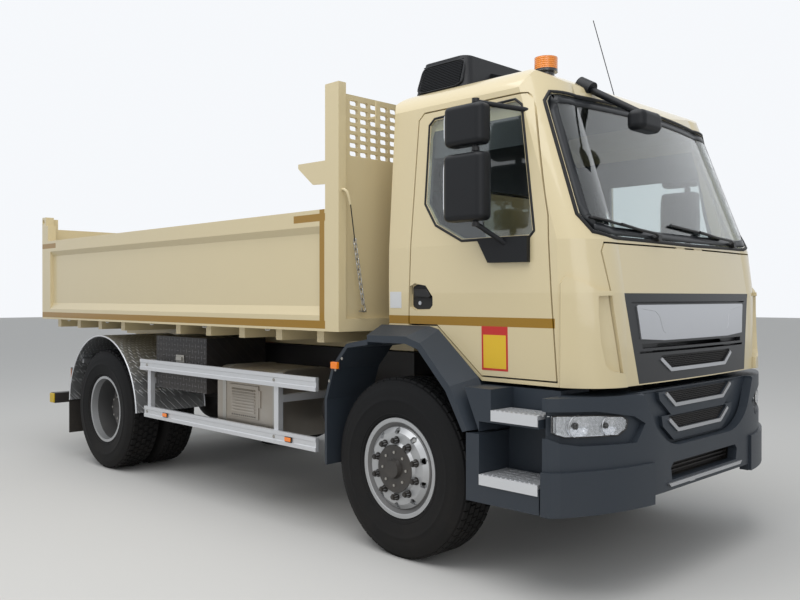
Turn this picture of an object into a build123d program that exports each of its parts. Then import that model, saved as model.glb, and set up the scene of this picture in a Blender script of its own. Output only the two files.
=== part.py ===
"""Two-axle tipping lorry: cab-over, single rear axle, rear-tipping body.

Units are millimetres. X points forward, Y to the lorry's left and Z up; the ground is Z = 0 and the
origin lies midway along the whole length. Left-hand pieces are the mirror of the right-hand ones.
"""
from build123d import *
import os
from math import cos, radians, sin

os.makedirs("parts", exist_ok=True)

# ---- driving dimensions ------------------------------------------------------------------------
wheelbase = 3750
front_overhang = 1385
rear_overhang = 1230

tyre_radius = 538          # 315/80 R22.5
tyre_width = 312
rim_radius = 298.5         # to the flange's edge
rim_width = 254
front_wheel_y = 1015       # centre plane of a front wheel
rear_outer_y = 1060        # centre plane of an outer rear wheel
twin_spacing = 351
kingpin_y = 930
running_gap = 0.3          # between a shaft or pin and its bore, on the radius

rail_half = 430            # outer face of a frame rail
rail_top = 985
rail_height = 266
rail_flange = 75
rail_wall = 8

cab_half = 1065            # half width at the waist
cab_rear = -220            # from the front axle
cab_wall = 50
rear_floor_z = 1375        # underside of the raised floor over the wheels
waist_z = 1855
roof_z = 2850
door_gap = 9

body_half = 1265
body_front = -402
body_bottom = 1341
side_top = 2114
side_wall = 80
floor_thick = 40
board_top = 2898           # headboard
post_depth = 131
post_width = 61

cab_pivot_x = 1225         # cab tilt hinge, from the front axle
cab_pivot_z = 660
cab_pin_radius = 20

pivot_x = -4600            # bed hinge, from the front axle
pivot_z = 1080
hoist_x = -2950            # hoist trunnion, from the front axle
hoist_z = 1000

# ---- places that follow ------------------------------------------------------------------------
front_axle_x = (wheelbase + rear_overhang - front_overhang) / 2
rear_axle_x = front_axle_x - wheelbase
axle_z = tyre_radius
rear_inner_y = rear_outer_y - twin_spacing
rail_bottom = rail_top - rail_height


# ---- drawing helpers ---------------------------------------------------------------------------
def ahead(*points):
    """Turn (distance ahead of the front axle, height) pairs into (x, z)."""
    return [(front_axle_x + along, height) for along, height in points]


def block(x0, x1, y0, y1, z0, z1, mode=Mode.ADD):
    """A box between two corners."""
    with Locations(((x0 + x1) / 2, (y0 + y1) / 2, (z0 + z1) / 2)):
        Box(abs(x1 - x0), abs(y1 - y0), abs(z1 - z0), mode=mode)


def bar(start, end, radius, mode=Mode.ADD):
    """A round bar from one point to another."""
    run = Vector(*end) - Vector(*start)
    with Locations(Plane(origin=start, z_dir=run)):
        Cylinder(radius, run.length, align=(Align.CENTER, Align.CENTER, Align.MIN), mode=mode)


def side_prism(points, y0, y1, mode=Mode.ADD):
    """A side-view outline of (x, z) points carried across from y0 to y1."""
    with BuildSketch(Plane.XZ.offset(-y1)) as outline:
        with BuildLine():
            Polyline(*points, close=True)
        make_face()
    extrude(outline.sketch, amount=y1 - y0, mode=mode)


def front_prism(points, x0, x1, mode=Mode.ADD):
    """A front-view outline of (y, z) points carried along from x0 to x1."""
    with BuildSketch(Plane.YZ.offset(x0)) as outline:
        with BuildLine():
            Polyline(*points, close=True)
        make_face()
    extrude(outline.sketch, amount=x1 - x0, mode=mode)


def wheel_turning(profile, x, y, side, mode=Mode.ADD):
    """A (outboard distance, radius) profile turned about a wheel's axle at y, outboard = side."""
    with BuildSketch(Plane(origin=(x, y, axle_z), x_dir=(0, side, 0), z_dir=(side, 0, 0))) as outline:
        with BuildLine():
            Polyline(*profile, close=True)
        make_face()
    revolve(outline.sketch, axis=Axis((x, y, axle_z), (0, 1, 0)), mode=mode)


def both_sides(piece):
    """Add the mirror image of a right-hand piece."""
    mirror(piece, about=Plane.XZ)


# ---- ladder frame ------------------------------------------------------------------------------
frame_rear = -4720
frame_front = 1080
cross_members = (980, -1250, -2300, -3420, -4100, -4560)   # ahead of the front axle
cross_depth = 90
tow_z = 851
tow_plate_thick = 20
tow_spacing_y, tow_spacing_z = 160, 100
tow_hole_radius = 10.5

with BuildPart() as frame_rails:
    for side in (-1, 1):
        web = side * rail_half
        inside = side * (rail_half - rail_wall)
        lip = side * (rail_half - rail_flange)
        channel = [(web, rail_bottom), (web, rail_top), (lip, rail_top), (lip, rail_top - rail_wall),
                   (inside, rail_top - rail_wall), (inside, rail_bottom + rail_wall),
                   (lip, rail_bottom + rail_wall), (lip, rail_bottom)]
        front_prism(channel, front_axle_x + frame_rear, front_axle_x + frame_front)
    for place in cross_members:
        x = front_axle_x + place
        half = rail_half - rail_wall
        block(x - cross_depth / 2, x + cross_depth / 2, -half, half, rail_bottom + 60, rail_top - 60)
    # plate across the rear end, with a coupling's standard four holes
    rear_end = front_axle_x + frame_rear
    block(rear_end, rear_end + tow_plate_thick, -half, half, rail_bottom + 30, rail_top - 30)
    with BuildSketch(Plane(origin=(rear_end - 1, 0, tow_z), x_dir=(0, 1, 0), z_dir=(1, 0, 0))) as tow_holes:
        with GridLocations(tow_spacing_y, tow_spacing_z, 2, 2):
            Circle(tow_hole_radius)
    extrude(tow_holes.sketch, amount=tow_plate_thick + 2, mode=Mode.SUBTRACT)
    for side in (-1, 1):
        near, far = sorted((side * (rail_half - 1), side * (rail_half + 32)))
        side_prism(ahead((900, 735), (1000, 735), (1180, cab_pivot_z - 35),
                         (cab_pivot_x + 30, cab_pivot_z - 35),
                         (cab_pivot_x + 30, cab_pivot_z + 30), (1150, 760), (1000, 960), (900, 960)), near,
                         far)
        bar((front_axle_x + cab_pivot_x, side * rail_half, cab_pivot_z),
            (front_axle_x + cab_pivot_x, side * (rail_half + 80), cab_pivot_z), cab_pin_radius)
frame_rails.part.label = "frame_rails"
export_step(frame_rails.part, "parts/frame_rails.step")


# ---- tipping subframe: two box rails on the frame, with the bed's rear hinge plates --------------
subframe_height = 180
subframe_width = 80
subframe_front = -560
subframe_rear = -4440
hinge_pin_radius = 30
hinge_plate = 20
hinge_plate_y = (330, 440)          # inner faces of the two plates on each side
subframe_top = rail_top + subframe_height

with BuildPart() as subframe:
    for side in (-1, 1):
        block(front_axle_x + subframe_rear, front_axle_x + subframe_front,
              side * (rail_half - subframe_width), side * rail_half, rail_top, subframe_top)
        for inner in hinge_plate_y:
            plate = ahead((subframe_rear + 60, rail_top), (subframe_rear + 60, subframe_top),
                          (pivot_x + 60, subframe_top), (pivot_x - 70, pivot_z + 40),
                          (pivot_x - 70, rail_top))
            near, far = sorted((side * inner, side * (inner + hinge_plate)))
            side_prism(plate, near, far)
        block(front_axle_x + subframe_rear, front_axle_x + subframe_rear + 60, side * hinge_plate_y[0],
              side * (hinge_plate_y[1] + hinge_plate), rail_top, subframe_top)
    for place in (subframe_front - 40, -1400, -2400, -3500, subframe_rear + 40):
        x = front_axle_x + place
        block(x - 40, x + 40, -rail_half + subframe_width, rail_half - subframe_width, rail_top + 20,
              subframe_top - 20)
    for side in (-1, 1):
        bar((front_axle_x + pivot_x, side * (hinge_plate_y[0] - 5), pivot_z),
            (front_axle_x + pivot_x, side * (hinge_plate_y[1] + hinge_plate + 5), pivot_z),
            hinge_pin_radius + running_gap, mode=Mode.SUBTRACT)
        block(front_axle_x + hoist_x - 90, front_axle_x + hoist_x + 90, side * 150,
              side * (rail_half - subframe_width), rail_top, rail_top + 60)
        bar((front_axle_x + hoist_x, side * 140, hoist_z), (front_axle_x + hoist_x, side * 300, hoist_z),
            35 + running_gap, mode=Mode.SUBTRACT)
subframe.part.label = "tipping_subframe"
export_step(subframe.part, "parts/tipping_subframe.step")


# ---- engine and gearbox, one plain heavy block ---------------------------------------------------
engine_front = 800
engine_rear = -330
gearbox_rear = -1000
engine_half = 300

with BuildPart() as engine:
    block(front_axle_x + engine_rear, front_axle_x + engine_front, -engine_half, engine_half, 780, 1290)
    block(front_axle_x + gearbox_rear, front_axle_x + engine_rear, -210, 210, 640, rail_top)
    block(front_axle_x + engine_rear, front_axle_x + engine_front - 150, -200, 200, 640, 780)
    for side in (-1, 1):
        block(front_axle_x + 500, front_axle_x + 620, side * engine_half, side * (rail_half - rail_wall),
              860, 940)
        block(front_axle_x - 700, front_axle_x - 600, side * 210, side * (rail_half - rail_wall), 860, 920)
engine.part.label = "engine"
export_step(engine.part, "parts/engine.step")


# ---- front axle: forged beam, kingpin eyes and leaf springs --------------------------------------
spring_y = 395
spring_width = 80
kingpin_radius = 25
front_spring_half = 800

with BuildPart() as front_axle:
    beam = [(-kingpin_y + 60, axle_z - 55), (-560, axle_z - 110), (560, axle_z - 110),
            (kingpin_y - 60, axle_z - 55),
            (kingpin_y - 60, axle_z + 55), (560, axle_z), (-560, axle_z), (-kingpin_y + 60, axle_z + 55)]
    front_prism(beam, front_axle_x - 45, front_axle_x + 45)
    for side in (-1, 1):
        bar((front_axle_x, side * kingpin_y, axle_z - 55), (front_axle_x, side * kingpin_y, axle_z + 55), 62)
        bar((front_axle_x, side * kingpin_y, axle_z - 130), (front_axle_x, side * kingpin_y, axle_z + 130),
            kingpin_radius)
        leaf = ahead((-front_spring_half, 655), (-300, 560), (-60, axle_z), (60, axle_z), (300, 560),
                     (front_spring_half, 655), (front_spring_half, 675), (300, 625), (60, 640), (-60, 640),
                     (-300, 625), (-front_spring_half, 675))
        near, far = sorted((side * (spring_y - spring_width / 2), side * (spring_y + spring_width / 2)))
        side_prism(leaf, near, far)
        for end in (-front_spring_half, front_spring_half):
            block(front_axle_x + end - 35, front_axle_x + end + 35, near, far, 655, rail_bottom)
front_axle.part.label = "front_axle"
export_step(front_axle.part, "parts/front_axle.step")


# ---- rear axle: housing, final drive, prop shaft and springs -------------------------------------
axle_tube_radius = 70
spindle_radius = 48
rear_disc_y = (rear_outer_y + rear_inner_y) / 2

with BuildPart() as rear_axle:
    bar((rear_axle_x, -560, axle_z), (rear_axle_x, 560, axle_z), axle_tube_radius)
    bar((rear_axle_x, -1010, axle_z), (rear_axle_x, 1010, axle_z), spindle_radius)
    with Locations((rear_axle_x, 0, axle_z)):
        Sphere(205)
    bar((rear_axle_x, 0, axle_z), (rear_axle_x + 360, 0, axle_z + 30), 85)
    bar((rear_axle_x + 340, 0, axle_z + 28), (front_axle_x + gearbox_rear - 8, 0, 700), 45)
    for side in (-1, 1):
        near, far = sorted((side * (spring_y - spring_width / 2), side * (spring_y + spring_width / 2)))
        leaf = [(rear_axle_x - 760, 640), (rear_axle_x - 100, 608), (rear_axle_x - 100, 570),
                (rear_axle_x + 100, 570),
                (rear_axle_x + 100, 608), (rear_axle_x + 760, 640), (rear_axle_x + 760, 660),
                (rear_axle_x + 100, 700), (rear_axle_x - 100, 700), (rear_axle_x - 760, 660)]
        side_prism(leaf, near, far)
        for end in (-760, 760):
            block(rear_axle_x + end - 35, rear_axle_x + end + 35, near, far, 640, rail_bottom)
rear_axle.part.label = "rear_axle"
export_step(rear_axle.part, "parts/rear_axle.step")


# ---- wheels --------------------------------------------------------------------------------------
tyre_half = tyre_width / 2
bead_radius = 286
tyre_profile = [(-114.7, bead_radius), (-114.7, 299), (-135, 310), (-tyre_half, 405), (-150, 470),
                (-128, 522), (-112, tyre_radius),
                (112, tyre_radius), (128, 522), (150, 470), (tyre_half, 405), (135, 310), (114.7, 299),
                (114.7, bead_radius)]
rim_half = rim_width / 2
wall = 12
front_face = 140           # the disc's outer face, outboard of a front wheel's centre plane
disc_thick = 14
hub_radius = 140
front_rim_profile = [(-rim_half, 276), (-rim_half, rim_radius), (-rim_half + wall, rim_radius),
                     (-rim_half + wall, 285.7),
                     (rim_half - wall, 285.7), (rim_half - wall, rim_radius), (rim_half, rim_radius),
                     (rim_half, 276),
                     (front_face - 30, 250), (front_face, 215), (front_face, hub_radius + 15),
                     (front_face + 20, hub_radius),
                     (front_face + 20, 60), (front_face + 45, 50), (front_face + 45, 0),
                     (front_face + 5, 0), (front_face + 5, spindle_radius + running_gap),
                     (45, spindle_radius + running_gap),
                     (45, 110), (front_face - disc_thick, 130), (front_face - disc_thick, 205),
                     (front_face - 50, 240), (100, 262), (-100, 270)]

with BuildPart() as tyre_front_right:
    wheel_turning(tyre_profile, front_axle_x, -front_wheel_y, -1)
with BuildPart() as rim_front_right:
    wheel_turning(front_rim_profile, front_axle_x, -front_wheel_y, -1)
    stud_plane = Plane(origin=(front_axle_x, -front_wheel_y - front_face, axle_z), z_dir=(0, -1, 0))
    with BuildSketch(stud_plane) as hand_holes:
        with PolarLocations(222, 10):
            RegularPolygon(21, 6)
    extrude(hand_holes.sketch, amount=30, both=True, mode=Mode.SUBTRACT)
    with BuildSketch(stud_plane) as studs:
        with PolarLocations(167.5, 10):
            RegularPolygon(17, 6)
    extrude(studs.sketch, amount=32)

rear_offset = twin_spacing / 2
rear_rim_profile = [(-rim_half, 276), (-rim_half, rim_radius), (-rim_half + wall, rim_radius),
                    (-rim_half + wall, 285.7),
                    (rim_half - wall, 285.7), (rim_half - wall, rim_radius), (rim_half, rim_radius),
                    (rim_half, 276), (-80, 262),
                    (-rear_offset + 40, 235), (-rear_offset + disc_thick, 205),
                    (-rear_offset + disc_thick, 100),
                    (-rear_offset, 100), (-rear_offset, 215), (-rear_offset + 25, 245), (-100, 270)]
hub_length = 165

with BuildPart() as tyres_rear_right:
    for centre in (rear_inner_y, rear_outer_y):
        wheel_turning(tyre_profile, rear_axle_x, -centre, -1)
with BuildPart() as rims_rear_right:
    wheel_turning(rear_rim_profile, rear_axle_x, -rear_outer_y, -1)
    wheel_turning(rear_rim_profile, rear_axle_x, -rear_inner_y, 1)
    disc_plane = Plane(origin=(rear_axle_x, -rear_disc_y, axle_z), z_dir=(0, -1, 0))
    with BuildSketch(disc_plane) as rear_hand_holes:
        with PolarLocations(222, 10):
            RegularPolygon(21, 6)
    extrude(rear_hand_holes.sketch, amount=60, both=True, mode=Mode.SUBTRACT)
    with BuildSketch(disc_plane) as hub_disc:
        Circle(hub_radius)
    extrude(hub_disc.sketch, amount=hub_length)
    with BuildSketch(disc_plane) as drum:
        Circle(205)
    extrude(drum.sketch, amount=-220)
    with BuildSketch(disc_plane) as rear_studs:
        with PolarLocations(167.5, 10):
            RegularPolygon(17, 6)
    extrude(rear_studs.sketch, amount=50)
    bar((rear_axle_x, -rear_disc_y + 230, axle_z), (rear_axle_x, -1012, axle_z),
        spindle_radius + running_gap, mode=Mode.SUBTRACT)

for right, left_name in ((tyre_front_right, "tyre_front_left"), (rim_front_right, "rim_front_left"),
                         (tyres_rear_right, "tyres_rear_left"), (rims_rear_right, "rims_rear_left")):
    with BuildPart() as left_piece:
        mirror(right.part, about=Plane.XZ)
    left_piece.part.label = left_name
    export_step(left_piece.part, f"parts/{left_name}.step")
tyre_front_right.part.label = "tyre_front_right"
export_step(tyre_front_right.part, "parts/tyre_front_right.step")
rim_front_right.part.label = "rim_front_right"
export_step(rim_front_right.part, "parts/rim_front_right.step")
tyres_rear_right.part.label = "tyres_rear_right"
export_step(tyres_rear_right.part, "parts/tyres_rear_right.step")
rims_rear_right.part.label = "rims_rear_right"
export_step(rims_rear_right.part, "parts/rims_rear_right.step")


# ---- steering knuckles ---------------------------------------------------------------------------
with BuildPart() as knuckle_right:
    for z0, z1 in ((axle_z - 125, axle_z - 60), (axle_z + 60, axle_z + 125)):
        bar((front_axle_x, -kingpin_y, z0), (front_axle_x, -kingpin_y, z1), 52)
    block(front_axle_x - 50, front_axle_x + 50, -kingpin_y - 105, -kingpin_y - 66, axle_z - 125, axle_z + 125)
    for z0, z1 in ((axle_z - 125, axle_z - 60), (axle_z + 60, axle_z + 125)):
        block(front_axle_x - 45, front_axle_x + 45, -kingpin_y - 80, -kingpin_y, z0, z1)
    bar((front_axle_x, -kingpin_y - 90, axle_z), (front_axle_x, -front_wheel_y - front_face, axle_z),
        spindle_radius)
    bar((front_axle_x, -kingpin_y, axle_z - 140), (front_axle_x, -kingpin_y, axle_z + 140),
        kingpin_radius + running_gap, mode=Mode.SUBTRACT)
with BuildPart() as knuckle_left:
    mirror(knuckle_right.part, about=Plane.XZ)
knuckle_right.part.label = "knuckle_right"
export_step(knuckle_right.part, "parts/knuckle_right.step")
knuckle_left.part.label = "knuckle_left"
export_step(knuckle_left.part, "parts/knuckle_left.step")


# ---- cab: hollow shell from plan sections, waist crease at the foot of the windscreen ------------
# columns: height, half width, where the flat side ends, corner middle (x, y), front corner (x, y), centre front x
cab_sections = [
    (1094, 1055, 1068, (1236, 965), (1306, 760), 1332),
    (1580, 1065, 1080, (1228, 970), (1286, 760), 1304),
    (waist_z, 1063, 1072, (1197, 972), (1242, 760), 1268),
    (2670, 1012, 800, (893, 930), (945, 700), 1000),
    (2960, 990, 700, (790, 905), (835, 680), 880),
]


def cab_outline(height, half, side_end, corner, front_corner, centre, inset):
    """One plan section of the cab, drawn in by a wall thickness."""
    rear = front_axle_x + cab_rear + inset
    half -= inset
    side_end = front_axle_x + side_end
    corner_x, corner_y = front_axle_x + corner[0] - 0.8 * inset, corner[1] - 0.8 * inset
    front_x, front_y = front_axle_x + front_corner[0] - inset, front_corner[1] - 0.4 * inset
    centre = front_axle_x + centre - inset
    rear_radius = 60
    with BuildSketch(Plane.XY.offset(height)) as section:
        with BuildLine():
            Polyline((side_end, -half), (rear + rear_radius, -half), (rear, -half + rear_radius),
                     (rear, half - rear_radius), (rear + rear_radius, half), (side_end, half))
            ThreePointArc((side_end, half), (corner_x, corner_y), (front_x, front_y))
            ThreePointArc((front_x, front_y), (centre, 0), (front_x, -front_y))
            ThreePointArc((front_x, -front_y), (corner_x, -corner_y), (side_end, -half))
        make_face()
    return section.sketch


def cab_body(inset, bottom_lift=0):
    """The cab's whole outer form, or its hollow when inset by the wall."""
    roof = roof_z - inset
    low = cab_sections[0][0] + bottom_lift
    with BuildPart() as body:
        for lower, upper in zip(cab_sections, cab_sections[1:]):
            loft([cab_outline(*lower, inset), cab_outline(*upper, inset)], ruled=True)
        # front view: upright sides, rounded roof shoulders, slightly crowned roof
        with BuildSketch(Plane.YZ.offset(front_axle_x - 1000)) as across:
            with BuildLine():
                Polyline((-1030 + inset, 2560), (-1200, 2560), (-1200, low), (1200, low), (1200, 2560),
                         (1030 - inset, 2560))
                ThreePointArc((1030 - inset, 2560), (985 - inset, 2735 - inset * 0.7),
                              (860 - inset, roof - 28))
                ThreePointArc((860 - inset, roof - 28), (0, roof), (-860 + inset, roof - 28))
                ThreePointArc((-860 + inset, roof - 28), (-985 + inset, 2735 - inset * 0.7),
                              (-1030 + inset, 2560))
            make_face()
        extrude(across.sketch, amount=3000, mode=Mode.INTERSECT)
        # side view: raised floor over the wheels, brow over the windscreen, rounded rear of the roof
        rear = front_axle_x + cab_rear + inset
        brow = front_axle_x + 1010 - inset
        with BuildSketch(Plane.XZ.offset(1300)) as along:
            with BuildLine():
                Polyline((brow, 2655), (front_axle_x + 1500, 2655), (front_axle_x + 1500, low),
                         (front_axle_x + 571, low),
                         (front_axle_x + 232, low + 281), (rear, low + 281), (rear, 2700))
                ThreePointArc((rear, 2700), (rear + 40, roof - 60), (rear + 160, roof - 12))
                ThreePointArc((rear + 160, roof - 12), (front_axle_x + 350, roof),
                              (front_axle_x + 720 - inset, roof - 22))
                ThreePointArc((front_axle_x + 720 - inset, roof - 22),
                              (front_axle_x + 880 - inset, roof - 80), (brow, 2655))
            make_face()
        extrude(along.sketch, amount=-2600, mode=Mode.INTERSECT)
    return body.part



door_outline = ahead((14, 1398), (240, 1398), (571, 1124), (1064, 1124), (1008, 1980), (868, 2620),
                     (835, 2652), (95, 2652), (55, 2615))
window_outline = ahead((150, 2575), (180, 2600), (770, 2618), (805, 2590), (918, 1905), (900, 1887),
                       (430, 1887), (230, 1985), (142, 2110))
windscreen_outline = [(-900, 2655), (-930, 2610), (-968, 1985), (-930, 1900), (-800, 1876), (0, 1868),
                      (800, 1876), (930, 1900), (968, 1985), (930, 2610), (900, 2655), (0, 2665)]
lid_outline = [(-790, 1094), (-862, 1492), (-905, 1790), (-885, 1833), (885, 1833), (905, 1790),
               (862, 1492), (790, 1094)]
lid_hinge_x, lid_hinge_z = 1264, 1837.5
rear_window = (520, 1900, 2300)       # half width, lowest, highest
tunnel_half = 370
tunnel_front = 890
tunnel_top = 1345
bulkhead_x = 1120
glass_depth = 5
glass_thick = 7

# raised corner vane and the slot behind it, seen square to the corner: (distance along it, height)
vane_raise = 22
vane_outline = [(-150, 1096), (-150, 1625), (-125, 1665), (-30, 1626), (36, 1592), (125, 1588), (125, 1566),
                (36, 1563),
                (36, 1466), (50, 1320), (73, 1214), (95, 1190), (120, 1178), (190, 1165), (205, 1096)]
slot_outline = [(36, 1563), (130, 1566), (190, 1165), (120, 1178), (95, 1190), (73, 1214), (50, 1320),
                (36, 1466)]
handle_outline = ahead((20, 1500), (20, 1622), (60, 1640), (150, 1626), (206, 1560), (206, 1510),
                       (180, 1482), (60, 1478))
handle_depth = 26

cab_outer = cab_body(0)
glass_face = cab_body(glass_depth)
glass_back = cab_body(glass_depth + glass_thick)
grille_back = cab_body(40)
cab_hollow = cab_body(cab_wall, bottom_lift=30)
with BuildPart() as glass_skin:
    add(glass_face)
    add(glass_back, mode=Mode.SUBTRACT)


def grown(points, plane, amount):
    """A straight-sided outline drawn larger all round."""
    with BuildSketch(plane) as outline:
        with BuildLine():
            Polyline(*points, close=True)
        make_face()
        if amount:
            offset(amount=amount, kind=Kind.INTERSECTION)
    return outline.sketch


with BuildPart() as cab_wall_skin:
    add(cab_outer)
    add(cab_hollow, mode=Mode.SUBTRACT)

corner_plane = Plane(origin=(front_axle_x + 1190, -950, 0), x_dir=(1, 1, 0), z_dir=(1, -1, 0))
with BuildPart() as vane_right:
    add(cab_body(-vane_raise))
    add(cab_outer, mode=Mode.SUBTRACT)
    extrude(grown(vane_outline, corner_plane, 0), amount=140, both=True, mode=Mode.INTERSECT)
with BuildPart() as slot_right:
    extrude(grown(slot_outline, corner_plane, 0), amount=140, both=True)
    add(glass_back, mode=Mode.SUBTRACT)

right_plane = Plane.XZ.offset(980)      # inside the door's inner face
door_reach = 200
with BuildPart() as door_right:
    add(cab_wall_skin.part)
    extrude(grown(door_outline, right_plane, 0), amount=door_reach, mode=Mode.INTERSECT)
    extrude(grown(window_outline, right_plane.offset(-60), 0), amount=door_reach + 60, mode=Mode.SUBTRACT)
    side_prism(handle_outline, -cab_half - 40, -cab_half + handle_depth, mode=Mode.SUBTRACT)
with BuildPart() as window_right:
    add(glass_skin.part)
    extrude(grown(window_outline, right_plane.offset(-60), 0), amount=door_reach + 60, mode=Mode.INTERSECT)

lid_plane = Plane.YZ.offset(front_axle_x + bulkhead_x + 40)
with BuildPart() as front_lid:
    add(cab_wall_skin.part)
    extrude(grown(lid_outline, lid_plane, 0), amount=300, mode=Mode.INTERSECT)

with BuildPart() as cab_shell:
    add(cab_wall_skin.part)
    add(slot_right.part, mode=Mode.SUBTRACT)
    add(mirror(slot_right.part, about=Plane.XZ, mode=Mode.PRIVATE), mode=Mode.SUBTRACT)
    add(vane_right.part)
    both_sides(vane_right.part)
    for side_plane in (right_plane, right_plane.offset(-2 * 980 - door_reach)):
        extrude(grown(door_outline, side_plane, door_gap), amount=door_reach, mode=Mode.SUBTRACT)
    extrude(grown(windscreen_outline, lid_plane.offset(-400), 0), amount=800, mode=Mode.SUBTRACT)
    extrude(grown(lid_outline, lid_plane.offset(-30), door_gap), amount=400, mode=Mode.SUBTRACT)
    block(front_axle_x + cab_rear - 10, front_axle_x + cab_rear + cab_wall + 10, -rear_window[0],
          rear_window[0], rear_window[1], rear_window[2], mode=Mode.SUBTRACT)
    # bulkhead behind the lid, cowl under the windscreen and tunnel over the engine
    with BuildPart(mode=Mode.PRIVATE) as inner_walls:
        block(front_axle_x + bulkhead_x, front_axle_x + bulkhead_x + 25, -1000, 1000, 1094, 1866)
        block(front_axle_x + bulkhead_x, front_axle_x + bulkhead_x + 300, -940, 940, 1842, 1866)
        block(front_axle_x + 150, front_axle_x + tunnel_front, -tunnel_half, tunnel_half, 1094, tunnel_top)
        add(glass_face, mode=Mode.INTERSECT)
    add(inner_walls.part)
    block(front_axle_x + cab_rear - 50, front_axle_x + tunnel_front - 30, -tunnel_half + 30,
          tunnel_half - 30, 1050, tunnel_top - 30, mode=Mode.SUBTRACT)
    for side in (-1, 1):
        near, far = sorted((side * (rail_half + 38), side * (rail_half + 72)))
        side_prism(ahead((cab_pivot_x - 25, cab_pivot_z - 25), (cab_pivot_x + 20, cab_pivot_z - 20),
                         (cab_pivot_x + 22, cab_pivot_z + 18), (690, 1060), (690, 1098), (575, 1098),
                         (575, 1062)), near, far)
        bar((front_axle_x + cab_pivot_x, near - 5, cab_pivot_z),
            (front_axle_x + cab_pivot_x, far + 5, cab_pivot_z),
            cab_pin_radius + running_gap, mode=Mode.SUBTRACT)
cab_shell.part.label = "cab_shell"
export_step(cab_shell.part, "parts/cab_shell.step")

with BuildPart() as cab_glass:
    add(glass_skin.part)
    extrude(grown(windscreen_outline, lid_plane.offset(-400), 0), amount=800, mode=Mode.INTERSECT)
    block(front_axle_x + cab_rear + 15, front_axle_x + cab_rear + 22, -rear_window[0], rear_window[0],
          rear_window[1], rear_window[2])
cab_glass.part.label = "cab_glass"
export_step(cab_glass.part, "parts/cab_glass.step")

with BuildPart() as door_left:
    mirror(door_right.part, about=Plane.XZ)
with BuildPart() as window_left:
    mirror(window_right.part, about=Plane.XZ)
for piece, name in ((door_right, "door_right"), (door_left, "door_left"), (window_right, "window_right"),
                    (window_left, "window_left")):
    piece.part.label = name
    export_step(piece.part, f"parts/{name}.step")


# ---- front lid's grille, its plate and bright strip ----------------------------------------------
grille_outline = [(-660, 1100), (-768, 1578), (768, 1578), (660, 1100)]
plate_outline = [(-630, 1335), (-648, 1440), (-662, 1508), (-650, 1516), (650, 1516), (662, 1508),
                 (648, 1440), (630, 1335), (400, 1322), (-400, 1322)]
strip_width = 20
# bright strips on the lid and on the bumper below it
# columns: half width at the ends, height at the ends, half width of the flat bottom, height of the bottom
grille_strips = [(438, 1209, 342, 1149), (404, 1019, 303, 952), (368, 873, 271, 810)]


def strip_outline(end_half, end_z, flat_half, flat_z):
    """A shallow cup-shaped strip in front view."""
    lower = [(-end_half, end_z), (-flat_half, flat_z), (flat_half, flat_z), (end_half, end_z)]
    upper = [(end_half + 8, end_z + 8), (end_half - 8, end_z + strip_width),
             (flat_half - 8, flat_z + strip_width),
             (-flat_half + 8, flat_z + strip_width), (-end_half + 8, end_z + strip_width),
             (-end_half - 8, end_z + 8)]
    return lower + upper


def mesh_outline(end_half, end_z, flat_half, flat_z):
    """The mesh pocket that a strip underlines."""
    return [(-end_half + 8, end_z + strip_width), (-flat_half + 8, flat_z + strip_width),
            (flat_half - 8, flat_z + strip_width),
            (end_half - 8, end_z + strip_width), (end_half - 12, end_z + 32), (-end_half + 12, end_z + 32)]


def cup_outline(end_half, end_z, flat_half, flat_z):
    """The moulded frame round a mesh pocket."""
    return [(-end_half - 75, end_z + 36), (-end_half - 60, end_z - 20), (-flat_half - 30, flat_z - 44),
            (flat_half + 30, flat_z - 44), (end_half + 60, end_z - 20), (end_half + 75, end_z + 36)]


with BuildPart() as grille:
    add(cab_outer)
    add(grille_back, mode=Mode.SUBTRACT)
    extrude(grown(grille_outline, lid_plane, 0), amount=400, mode=Mode.INTERSECT)
    pocket_floor = front_axle_x + 1304
    for half, low, high in ((612, 1284, 1308), (640, 1258, 1270), (700, 1524, 1532)):
        front_prism([(-half, low), (-half - 4, high), (half + 4, high), (half, low)], pocket_floor - 30,
                    front_axle_x + 1400, mode=Mode.SUBTRACT)
    front_prism(mesh_outline(*grille_strips[0]), pocket_floor, front_axle_x + 1400, mode=Mode.SUBTRACT)
grille.part.label = "grille"
export_step(grille.part, "parts/grille.step")

with BuildPart() as grille_trim:
    add(cab_body(-7))
    add(cab_outer, mode=Mode.SUBTRACT)
    with BuildPart(mode=Mode.PRIVATE) as trim_tool:
        extrude(grown(plate_outline, lid_plane, 0), amount=400)
        extrude(grown(strip_outline(*grille_strips[0]), lid_plane, 0), amount=400)
    add(trim_tool.part, mode=Mode.INTERSECT)
grille_trim.part.label = "grille_trim"
export_step(grille_trim.part, "parts/grille_trim.step")

with BuildPart() as lid_with_opening:
    add(front_lid.part)
    extrude(grown(grille_outline, lid_plane.offset(-40), 0), amount=400, mode=Mode.SUBTRACT)
    for y in (-160, 60):
        bar((front_axle_x + lid_hinge_x, y, lid_hinge_z), (front_axle_x + lid_hinge_x, y + 100,
                                                           lid_hinge_z), 4.2)
        block(front_axle_x + lid_hinge_x - 3, front_axle_x + lid_hinge_x + 3, y, y + 100, 1830, lid_hinge_z)
lid_with_opening.part.label = "front_lid"
export_step(lid_with_opening.part, "parts/front_lid.step")


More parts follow.
